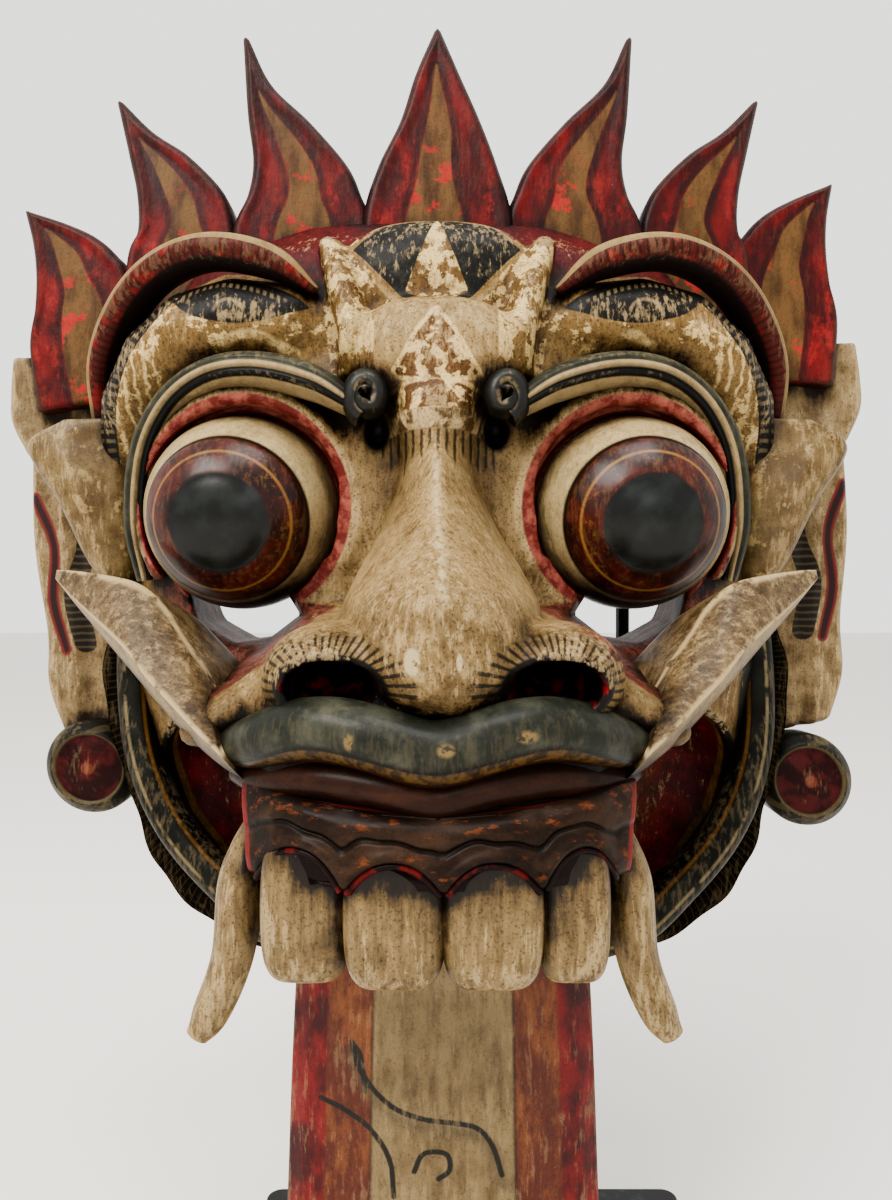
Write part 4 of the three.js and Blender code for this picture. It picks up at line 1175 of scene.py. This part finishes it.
def skin(rings, rows, around, crisp=0.35):
    """A smooth skin over a few rough rings. Attributes: u along it, v round it"""
    rings = np.array(rings, dtype=float)
    corners = rings.shape[1]
    fine = []
    for ring in rings:
        closed = np.vstack([ring[-1:], ring, ring[:2]])
        t = np.linspace(0, corners, around, endpoint=False)
        i, f = t.astype(int), (t - t.astype(int))[:, None]
        a, b, c, d = (closed[i + k] for k in range(4))
        smooth = a * (1 - f) ** 3 + b * (3 * f**3 - 6 * f**2 + 4)
        smooth = (smooth + c * (-3 * f**3 + 3 * f**2 + 3 * f + 1) + d * f**3) / 6
        straight = b * (1 - f) + c * f
        fine.append(smooth * (1 - crisp) + straight * crisp)
    fine = np.array(fine)
    path = spline(fine.reshape(len(rings), -1), rows).reshape(rows, around, 3)
    points, quads, extra = capped(path)
    u = np.concatenate([np.zeros(extra), np.linspace(0, 1, rows), np.ones(2)])
    return points, quads, {"u": np.repeat(u, around), "v": np.tile(np.linspace(0, 1, around), len(u))}


def tusk():
    reach = 101
    return skin([
        [[40, -46, -44], [46, -57, -34], [57, -31, -15], [52, -10, -16], [49, -6, -39]],
        [[50, -43, -38], [53, -52, -29], [62.5, -29, -8], [57, -12, -10], [55, -13, -33]],
        [[58, -40, -32], [60, -46, -24], [68, -26, -0.5], [63, -13, -4], [61, -20, -27]],
        [[66, -36, -25], [67.5, -41, -18], [74.5, -25, 5], [69, -15, -1], [68, -21, -19]],
        [[reach - 26, -30, -17], [reach - 26, -35, -11], [reach - 17, -22, 7], [reach - 22, -18, 4],
         [reach - 22, -22, -10]],
        [[reach - 9, -17, -3], [reach - 8.5, -20, 0], [reach - 6, -16, 8], [reach - 8, -13, 6],
         [reach - 8, -13, 0]],
        [[reach - 1, -12, 4.6], [reach - 1, -14, 5.6], [reach - 1, -13, 8], [reach - 1, -11, 7.5],
         [reach - 1, -10.5, 5.6]],
    ], 70, 60, 0.8)


def eyeball(side):
    tilt, out, back = np.radians(11.5), np.radians(2.5), 8
    axis = (side * np.sin(out), -np.cos(out) * np.cos(tilt), -np.sin(tilt))
    part = ball((0, 0, 0), (1, 1, 1), 2, 96, 96, axis)
    points, quads, attributes = part
    theta = attributes["theta"]
    swell = 1 + 0.028 * np.clip((0.92 - theta) / 0.04, 0, 1) - 0.012 * np.clip((0.49 - theta) / 0.04, 0, 1)
    points = points * swell[:, None] * [BALL, 28, BALL] + [side * EYE, 0, 24]
    points[:, 1] = np.minimum(points[:, 1], back)
    # lit: the half towards the nose, where the iris flecks are painted stronger as a highlight
    attributes["lit"] = np.clip(0.35 + (points[:, 0] * side < EYE + 4) * 0.4, 0, 1)
    return points, quads, attributes


def eye_rolls():
    stops = [[21, -17, 50, 3, 6], [32, -15, 56.5, 4.5, 8], [47, -12, 60.5, 4.8, 8.5],
             [61, -8, 59.5, 4.8, 8.5],
             [73, -3, 52.5, 4.8, 8], [80.5, 1, 40, 4.8, 8], [83, 4, 22, 4.8, 8], [81.5, 6, 6, 3.5, 6]]

    def beads(u, c, f):
        groove = hump(c, 0.28, 0.12) + 1.3 * hump(c, -0.22, 0.1)
        return 1 - 0.1 * groove * (f < 0)

    return both(bar(stops, 110, 64, beads))


def curls():
    stops = []
    for degrees in np.linspace(-70, 470, 28):
        angle = np.radians(degrees)
        k = 1 - 0.97 * max(degrees - 60, 0) / 410
        stops.append((17.5 + 3.4 * k * np.cos(angle), -19.5 - 2 * (1 - k), 51.5 + 4.8 * k * np.sin(angle),
                      3.3 * (0.75 + 0.25 * k), 4.8))
    return both(bar(stops, 120, 24))


def outer_brows():
    stops = [[33, -4, 84, 1.5, 3], [45, -6, 91.5, 4.4, 6], [62, -4, 95, 4.8, 7], [78, 3, 92, 5, 7.5],
             [91, 12, 83, 5, 8], [100, 21, 69, 4.5, 8], [102, 28, 51, 3.5, 6]]

    def step(u, c, f):
        return 1 - 0.1 * hump(c, 0.5, 0.1) * (f < 0)

    return both(bar(stops, 110, 48, step))


def temple_leaves():
    left = [(92, 3), (90, 12), (92, 30), (94, 46), (97, 54)]
    right = [(97, 2), (105, 12), (114, 30), (123, 46), (113, 53.5)]

    def profile(s, t, width):
        ridge = -4.5 * (1 - np.abs(s - 0.15)) * np.sin(np.pi * np.clip(t * 0.9 + 0.1, 0, 1))
        facet = 1.4 * np.abs(((t * 2.6) % 1) - 0.5)
        edge = rounding((1 - np.abs(s)) * width, 3)
        return ridge + facet + edge + 4, 20 - edge

    return both(sheet(left, right, profile, 80, 36, 13))


def ears():
    def profile(s, t, width):
        edge = rounding((1 - np.abs(s)) * width, 2.6)
        ends = 2.6 * np.clip(1 - np.minimum(t, 1 - t) * 34, 0, 1) ** 2
        fold = 1.6 * hump(s, 0.25, 0.12) - 1.2 * hump(s, 0.55, 0.1)
        return edge + ends + fold, 18 - edge - ends

    flank = sheet([(100, -47), (93, -30), (90, -8), (90, 20), (90, 56)],
                  [(126.5, -42), (131.5, -26), (131.5, -8), (134.8, 22), (134, 58)], profile, 90, 40, 46)
    crest = sheet([(94, 48), (94, 54), (96, 68), (110, 79)],
                  [(133, 49), (138, 60), (138.2, 70), (137, 81.5)],
                  lambda s, t, width: (profile(s, t, width)[0] - 0.5, np.full_like(s, 22)), 60, 40, 41)
    parts = []
    for points, quads, attributes in (flank, crest):
        x, z = points[:, 0], points[:, 2]
        mark, _ = path_distance(x, z, spline([(124, 46), (119, 38), (117, 20), (121, 4), (118, -12)], 24))
        red, _ = path_distance(x, z, spline([(133, 36), (127, 20), (128, 2), (124, -14)], 24))
        attributes["eband"], attributes["ered"] = mark - 3.2, red
        for side in SIDES:
            part = (points, quads, attributes) if side > 0 else mirrored((points, quads, attributes))
            parts.append(outward(moved(part, lambda p: leant(p, 0.018))))
    return parts


def earrings():
    parts = []
    for side in SIDES:
        points, quads, attributes = ball((0, 0, 0), (15, 15, 15), 2.0, 64, 48, (0, -1, 0))
        theta = attributes["theta"]
        radius = np.interp(theta, [0, 0.3, 0.86, 0.95, 1.3, 1.8, 2.6, 3.15],
                           [0, 4.6, 10.6, 11.4, 14.9, 14.6, 11, 0])
        deep = np.interp(theta, [0, 0.3, 0.86, 0.95, 1.3, 1.8, 2.6, 3.15],
                         [-13.5, -13.1, -11.6, -13.2, -9, 2, 11, 12])
        phi = attributes["phi"]
        points = np.stack([side * 114.5 + radius * np.cos(phi), 48 + deep, -55.5 + radius * np.sin(phi)], -1)
        parts.append(outward(moved((points, quads, attributes), lambda p: leant(p, -0.018))))
    return parts


def lip_roll(half_width, front, height, droop, rise, half_height, half_depth, dip=0.0):
    stops = []
    for share in np.linspace(-1, 1, 25):
        bow = 1 - abs(share) ** 2.4
        z = height - droop * share**4 + rise * np.sin(np.pi * abs(share)) ** 2 - dip * hump(share, 0, 0.16)
        thin = 1 - 0.45 * share**6
        stops.append((half_width * share, front + 21 * (1 - bow), z, half_height * thin, half_depth * thin))
    return bar(stops, 130, 48)


ARCHES = [-39, -18.4, 2, 22.4, 39.5]
GUM_FRONT = [[0, -69.4], [12, -69], [20, -67.2], [28, -64.4], [35, -60.5], [41, -55], [44, -52]]


def gum_edge(x):
    """The height of the gum's scalloped lower edge, and its front"""
    low = np.full(len(x), -59.5)
    for i, (a, b) in enumerate(zip(ARCHES, ARCHES[1:])):
        share = np.clip((x - (a + b) / 2) / ((b - a) / 2), -1, 1)
        low = np.maximum(low, -60.5 + (7.0 if i in (1, 2) else 8.6) * (1 - np.abs(share) ** 2.2))
    table = np.array(GUM_FRONT)
    return low, np.interp(np.abs(x - 1), table[:, 0], table[:, 1])


def gum():
    points, quads, attributes = sheet([(-40.5, -60), (-42.8, -40)], [(42.5, -60), (44.8, -40)],
                                      lambda s, t, width: (np.zeros_like(t), np.full_like(t, 4)), 56, 180)
    t, fore = attributes["t"], attributes["f"] > 0
    x = points[:, 0]
    low, front = gum_edge(x)
    high = -44.5 + 4.5 * np.clip(np.abs(x - 1) / 40, 0, 1) ** 1.5
    points[:, 2] = low + (high - low) * t
    wave = 0.5 + 0.06 * np.sin(x * 0.31) + 0.02 * np.sin(x * 0.8 + 1)
    relief = 1.5 * np.clip(1 - t / 0.1, 0, 1) ** 2 - 0.8 * hump(t, 0.2, 0.12)
    relief += 0.9 * hump(t, wave, 0.05) + 2.6 * np.clip((t - 0.72) / 0.28, 0, 1) ** 2
    points[:, 1] = front + np.where(fore, relief, 5.0)
    attributes["wave"] = t - wave
    return [(points, quads, attributes)]


def gum_scallops():
    parts = []
    for a, b in zip(ARCHES, ARCHES[1:]):
        x = np.linspace(a + 0.6, b - 0.6, 13)
        low, front = gum_edge(x)
        parts.append(bar(np.stack([x, front + 1.6, low - 0.3, np.full(13, 0.9), np.full(13, 1.5)], -1), 44,
                         16))
    return parts


def teeth():
    parts = []
    edges = [-36.8, -18.4, 2, 22.4, 37.2]
    for i, (a, b) in enumerate(zip(edges, edges[1:])):
        inner = i in (1, 2)
        length = 29 if inner else 30
        centre = np.array([(a + b) / 2, -59 if inner else -53, -52 - length / 2 + 2])
        points, quads, attributes = ball((0, 0, 0), ((b - a) / 2 + 0.7, 8.8, length / 2 + 2), 4.6, 72, 60)
        share = points[:, 2] / (length / 2)
        points[:, 0] *= 1 - 0.06 * np.clip(share, -1, 1) ** 2 - 0.03 * (share > 0) * share
        points[:, 1] *= 1 - 0.1 * (points[:, 0] / 10) ** 2
        parts.append((points + centre, quads, attributes))
    return parts


def fangs():
    stops = [[40, -43, -50, 3, 4], [42.5, -44, -57, 4.4, 5], [44, -45, -65, 5.6, 6], [46, -46, -81, 4.8, 5],
             [50.5, -47, -93, 4.2, 4.2], [53.5, -48, -98, 2.6, 2.6]]
    return both(bar(stops, 70, 32, lambda u, c, f: 1 - 0.06 * np.abs(c * f) * 2))


def jaw_rim():
    half = [(94, 26, -2), (93.5, 22, -28), (89.5, 17, -48), (80, 12, -66), (65, 7, -81), (48, 3, -93),
            (28, 3, -94)]
    stops = [(x, y, z, 5.5, 5.5) for x, y, z in half]
    stops += [(0, 3, -94, 5.5, 5.5)] + [(-x, y, z, w, d) for x, y, z, w, d in stops[::-1]]
    return [moved(bar(stops, 180, 40), leant)]


def beard():
    half = [[104, 40, -6, 2, 4], [105, 40, -22, 5, 6], [101, 38, -42, 6, 7], [94, 34, -60, 6, 7],
            [85, 29, -76, 8, 8],
            [72, 25, -88, 9, 8], [52, 21, -97, 8.5, 8], [28, 19, -100, 8, 8]]
    stops = half + [[0, 18, -100, 7.5, 8]] + [[-x, y, z, w, d] for x, y, z, w, d in half[::-1]]

    def locks(u, c, f):
        return 1 + 0.05 * np.sin(u * 2 * np.pi * 17 + 2.2 * c) * (0.4 + 0.6 * np.abs(c)) - 0.03

    return [moved(bar(stops, 300, 48, locks), leant)]


def tongue():
    rim, gap, thick = 5.5, 0.3, 3.5
    bend = thick + gap + rim
    root, face, drop = -94 + rim + gap + thick, 3 - rim - gap - thick, 118
    rows, fore, aft = 300, 120, 30
    path = spline([
        (34, root + 6), (16, root + 1), (3, root), (3 - 0.75 * bend, root - 0.32 * bend),
        (face, root - bend),
        (face - 1, root - 0.35 * drop), (face + 1, root - 0.7 * drop), (face - 3, root - drop),
    ], 150)
    run = np.concatenate([[0], np.cumsum(np.hypot(*np.diff(path, axis=0).T))])
    even = np.linspace(0, run[-1], rows)
    path = np.stack([np.interp(even, run, path[:, k]) for k in (0, 1)], -1)
    along = unit(np.gradient(path, axis=0))
    out = np.stack([along[:, 1], -along[:, 0]], -1)
    hang = np.clip((root - path[:, 1]) / drop, 0, 1)
    taper = np.sqrt(np.maximum(0.02, 1 - np.maximum(0, (hang - 0.8) / 0.2) ** 2))
    half = (78 + 10 * hang) / 2 * (0.22 + 0.78 * taper)
    share = np.concatenate([np.linspace(-1, 1, fore), np.linspace(0.97, -0.97, aft)])
    front = np.interp(np.abs(share[:fore]), [0, 0.44, 0.48, 0.9, 1], [1, 1, 0.86, 0.55, 0])
    deep = np.concatenate([front, -np.interp(np.abs(share[fore:]), [0, 0.9, 1], [1, 1, 0.4])])
    around = fore + aft
    rings = np.empty((rows, around, 3))
    rings[..., 0] = 1.7 + share[None] * half[:, None]
    rings[..., 1] = path[:, :1] + out[:, :1] * deep[None] * thick
    rings[..., 2] = path[:, 1:] + out[:, 1:] * deep[None] * thick
    points, quads, extra = capped(rings)
    wide = np.concatenate([[half[0]] * extra, half, [half[-1]] * 2])
    x, z = points[:, 0], points[:, 2]
    lines = [
        spline([(-22.5, -118), (-21, -124), (-17, -130), (-11, -135.5), (-3, -138.5), (5, -139.5),
                (11, -141), (15, -146),
                (17.5, -154)], 40),
        spline([(-22.5, -118), (-20.5, -121), (-19.5, -126), (-19, -131)], 12),
        spline([(-31, -133), (-24, -136.5), (-17, -142), (-12.5, -150), (-11.5, -160)], 16),
        spline([(-6, -153), (-3.5, -148), (2.5, -148), (3.5, -152.5), (0.5, -155)], 16),
    ]
    swirl = np.min([path_distance(x, z, line)[0] for line in lines], axis=0)
    shade = path_distance(x, z + 2.2, lines[0])[0]
    attributes = {
        "f": np.tile(np.concatenate([np.ones(fore), -np.ones(aft)]), len(wide)),
        "wide": np.repeat(wide, around),
        "swirl": swirl, "swirl_dark": shade,
    }
    return [(points, quads, attributes)]


def blurred(grid, width):
    """A running mean along all three axes, twice over"""
    for axis in (0, 1, 2, 0, 1, 2):
        total = np.cumsum(grid, axis=axis)
        total = np.insert(total, 0, 0, axis=axis)
        high = np.take(total, range(width, total.shape[axis]), axis=axis)
        low = np.take(total, range(0, total.shape[axis] - width), axis=axis)
        pad = [(0, 0)] * 3
        pad[axis] = (width // 2, width - 1 - width // 2)
        grid = np.pad((high - low) / width, pad)
    return grid


def sampled(grid, places):
    """Values of a grid between its cells"""
    places = np.clip(places, 0, np.array(grid.shape) - 1.001)
    cell = places.astype(int)
    part = places - cell
    total = np.zeros(len(places))
    for corner in np.ndindex(2, 2, 2):
        weight = np.prod(np.where(corner, part, 1 - part), axis=1)
        total += weight * grid[tuple((cell + corner).T)]
    return total


def settle(made):
    """Stores how crowded each point is, as cav: creases darken with it, partly grime and partly painted
    shade, and crests are rubbed clean
    """
    step, margin = 1.5, 18
    skins = []
    for piece in made:
        mesh = piece.data
        points, normals = np.empty(len(mesh.vertices) * 3), np.empty(len(mesh.vertices) * 3)
        centres, areas = np.empty(len(mesh.polygons) * 3), np.empty(len(mesh.polygons))
        mesh.vertices.foreach_get("co", points)
        mesh.vertices.foreach_get("normal", normals)
        mesh.polygons.foreach_get("center", centres)
        mesh.polygons.foreach_get("area", areas)
        scaled = [a.reshape(-1, 3) * k for a, k in ((points, 1000), (normals, 1), (centres, 1000))]
        skins.append(scaled + [areas * 1e6])
    low = np.min([skin[0].min(0) for skin in skins], axis=0) - margin
    high = np.max([skin[0].max(0) for skin in skins], axis=0) + margin
    shape = np.ceil((high - low) / step).astype(int)
    grid = np.zeros(shape.prod())
    for _, _, centres, areas in skins:
        cell = ((centres - low) / step).astype(int)
        grid += np.bincount(np.ravel_multi_index(cell.T, shape), areas, shape.prod())
    grid = grid.reshape(shape)
    crowds = [np.zeros(len(skin[0])) for skin in skins]
    for width, lift in ((3, 1.8), (7, 4.5)):
        soft = blurred(grid, width)
        found = [sampled(soft, (skin[0] + skin[1] * lift - low) / step - 0.5) for skin in skins]
        usual = np.median(found[0])
        for crowd, value in zip(crowds, found):
            crowd += np.clip(value / usual - 1, -1, 2.5) / 2
    for piece, crowd in zip(made, crowds):
        layer = piece.data.attributes.new("cav", "FLOAT", "POINT")
        layer.data.foreach_set("value", np.clip(crowd, -1, 1.5).astype(np.float32))


# The stand


def stand():
    steel = Paint("black_metal")
    worn = steel.mottle(0.5, 0.75, "0F1011", "24272A", 5, 2, 4)
    metal = steel.finish(worn, 0.42, 0.0, 0.05, 0.35, (1, 1, 1), 0.15, None)
    for name in ("stand_plate", "stand_frame"):
        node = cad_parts[name]
        node.data.materials.clear()
        node.data.materials.append(metal)
        node.data.set_sharp_from_angle(angle=np.radians(35))


head()
carve("mask_flames", flames(), flame_paint, rough=0.45, coat=0.03, bump=0.2, shine=0.05)
carve("mask_eyes", [eyeball(side) for side in SIDES], eye_paint, rough=0.3, coat=0.1, bump=0.05, shine=0.08)
carve("mask_eye_rolls", eye_rolls(), roll_paint, rough=0.42, coat=0.03, shine=0.04)
carve("mask_curls", curls(), curl_paint, rough=0.4, coat=0.07)
carve("mask_outer_brows", outer_brows(), brow_paint, rough=0.5, coat=0.0, shine=0.04)
carve("mask_temple_leaves", temple_leaves(), temple_paint, rough=0.45, coat=0.035)
carve("mask_ears", ears(), ear_paint, rough=0.55)
carve("mask_earrings", earrings(), earring_paint, rough=0.4, coat=0.02, shine=0.03)
carve("mask_tusks", both(tusk()), tusk_paint, rough=0.45, coat=0.03, bump=0.15)
carve("mask_fangs", fangs(), bone_paint, rough=0.45, coat=0.035, bump=0.15)
carve("mask_teeth", teeth(), tooth_paint, rough=0.42, coat=0.052, bump=0.15)
carve("mask_lip", [lip_roll(47, -65, -30.5, 3, 3.5, 7, 7, 1.2)], lip_paint, rough=0.36, coat=0.05,
      shine=0.05)
carve("mask_inner_lip", [lip_roll(45, -62, -40, 0, 2, 4.6, 6, 1.5)],
      inner_lip_paint, rough=0.36, coat=0.03, shine=0.03)
carve("mask_gum", gum(), gum_paint, rough=0.4, coat=0.02, shine=0.03)
carve("mask_scallops", gum_scallops(), scallop_paint, rough=0.4, coat=0.02, shine=0.03)
carve("mask_jaw_rim", jaw_rim(), rim_paint, rough=0.42, coat=0.0, shine=0.03)
carve("mask_beard", beard(), beard_paint, rough=0.6, shine=0.0)
carve("tongue_board", tongue(), tongue_paint, rough=0.45, coat=0.042,
      slot="painted_tongue", node="tongue")
settle(CARVED)
stand()


# Light and camera, in metres: a window high on the left, a pale ceiling and a weak light from the front


AIM = (0, 0, 0.25)
EYE_POINT = (0.00313, -0.25697, 0.2272)
LENS, SENSOR = 27, 36
ROOM_LIGHT, ROOM_STRENGTH = (0.93, 0.915, 0.89, 1), 2.3
FLOOR_REACH = 6


def soft_light(name, place, size, power, colour=(1.0, 1.0, 1.0)):
    """A rectangular lamp, its power in watts, turned to the middle of the mask"""
    data = bpy.data.lights.new(name, "AREA")
    data.shape = "RECTANGLE"
    data.size, data.size_y = size
    data.energy = power
    data.color = colour
    lamp = bpy.data.objects.new(name, data)
    lamp.location = place
    towards = Vector(AIM) - Vector(place)
    lamp.rotation_euler = towards.to_track_quat("-Z", "Y").to_euler()
    bpy.context.scene.collection.objects.link(lamp)


floor_mesh = bpy.data.meshes.new("floor")
corners = [(x * FLOOR_REACH, y * FLOOR_REACH, 0) for x, y in ((-1, -1), (1, -1), (1, 1), (-1, 1))]
floor_mesh.from_pydata(corners, [], [(0, 1, 2, 3)])
floor = bpy.data.objects.new("floor", floor_mesh)
bpy.context.scene.collection.objects.link(floor)
pale = Paint("pale_floor")
floor_mesh.materials.append(pale.finish("E2DFD8", 0.7, 0.0, 0.0, varnish=None))

world = bpy.data.worlds.new("pale_room")
world.use_nodes = True
world.node_tree.nodes["Background"].inputs[0].default_value = ROOM_LIGHT
world.node_tree.nodes["Background"].inputs[1].default_value = ROOM_STRENGTH
bpy.context.scene.world = world

soft_light("window", (-0.55, -0.75, 1.05), (0.7, 0.5), 36, (1.0, 0.96, 0.9))
soft_light("ceiling", (0.1, -0.4, 1.2), (0.6, 0.4), 13)
soft_light("front", (0.25, -1.3, 0.45), (0.3, 0.3), 1.5)

camera_data = bpy.data.cameras.new("camera")
camera_data.lens, camera_data.sensor_width = LENS, SENSOR
camera = bpy.data.objects.new("camera", camera_data)
camera.location = EYE_POINT
camera.rotation_euler = (np.radians(90), 0, 0)
bpy.context.scene.collection.objects.link(camera)
bpy.context.scene.camera = camera
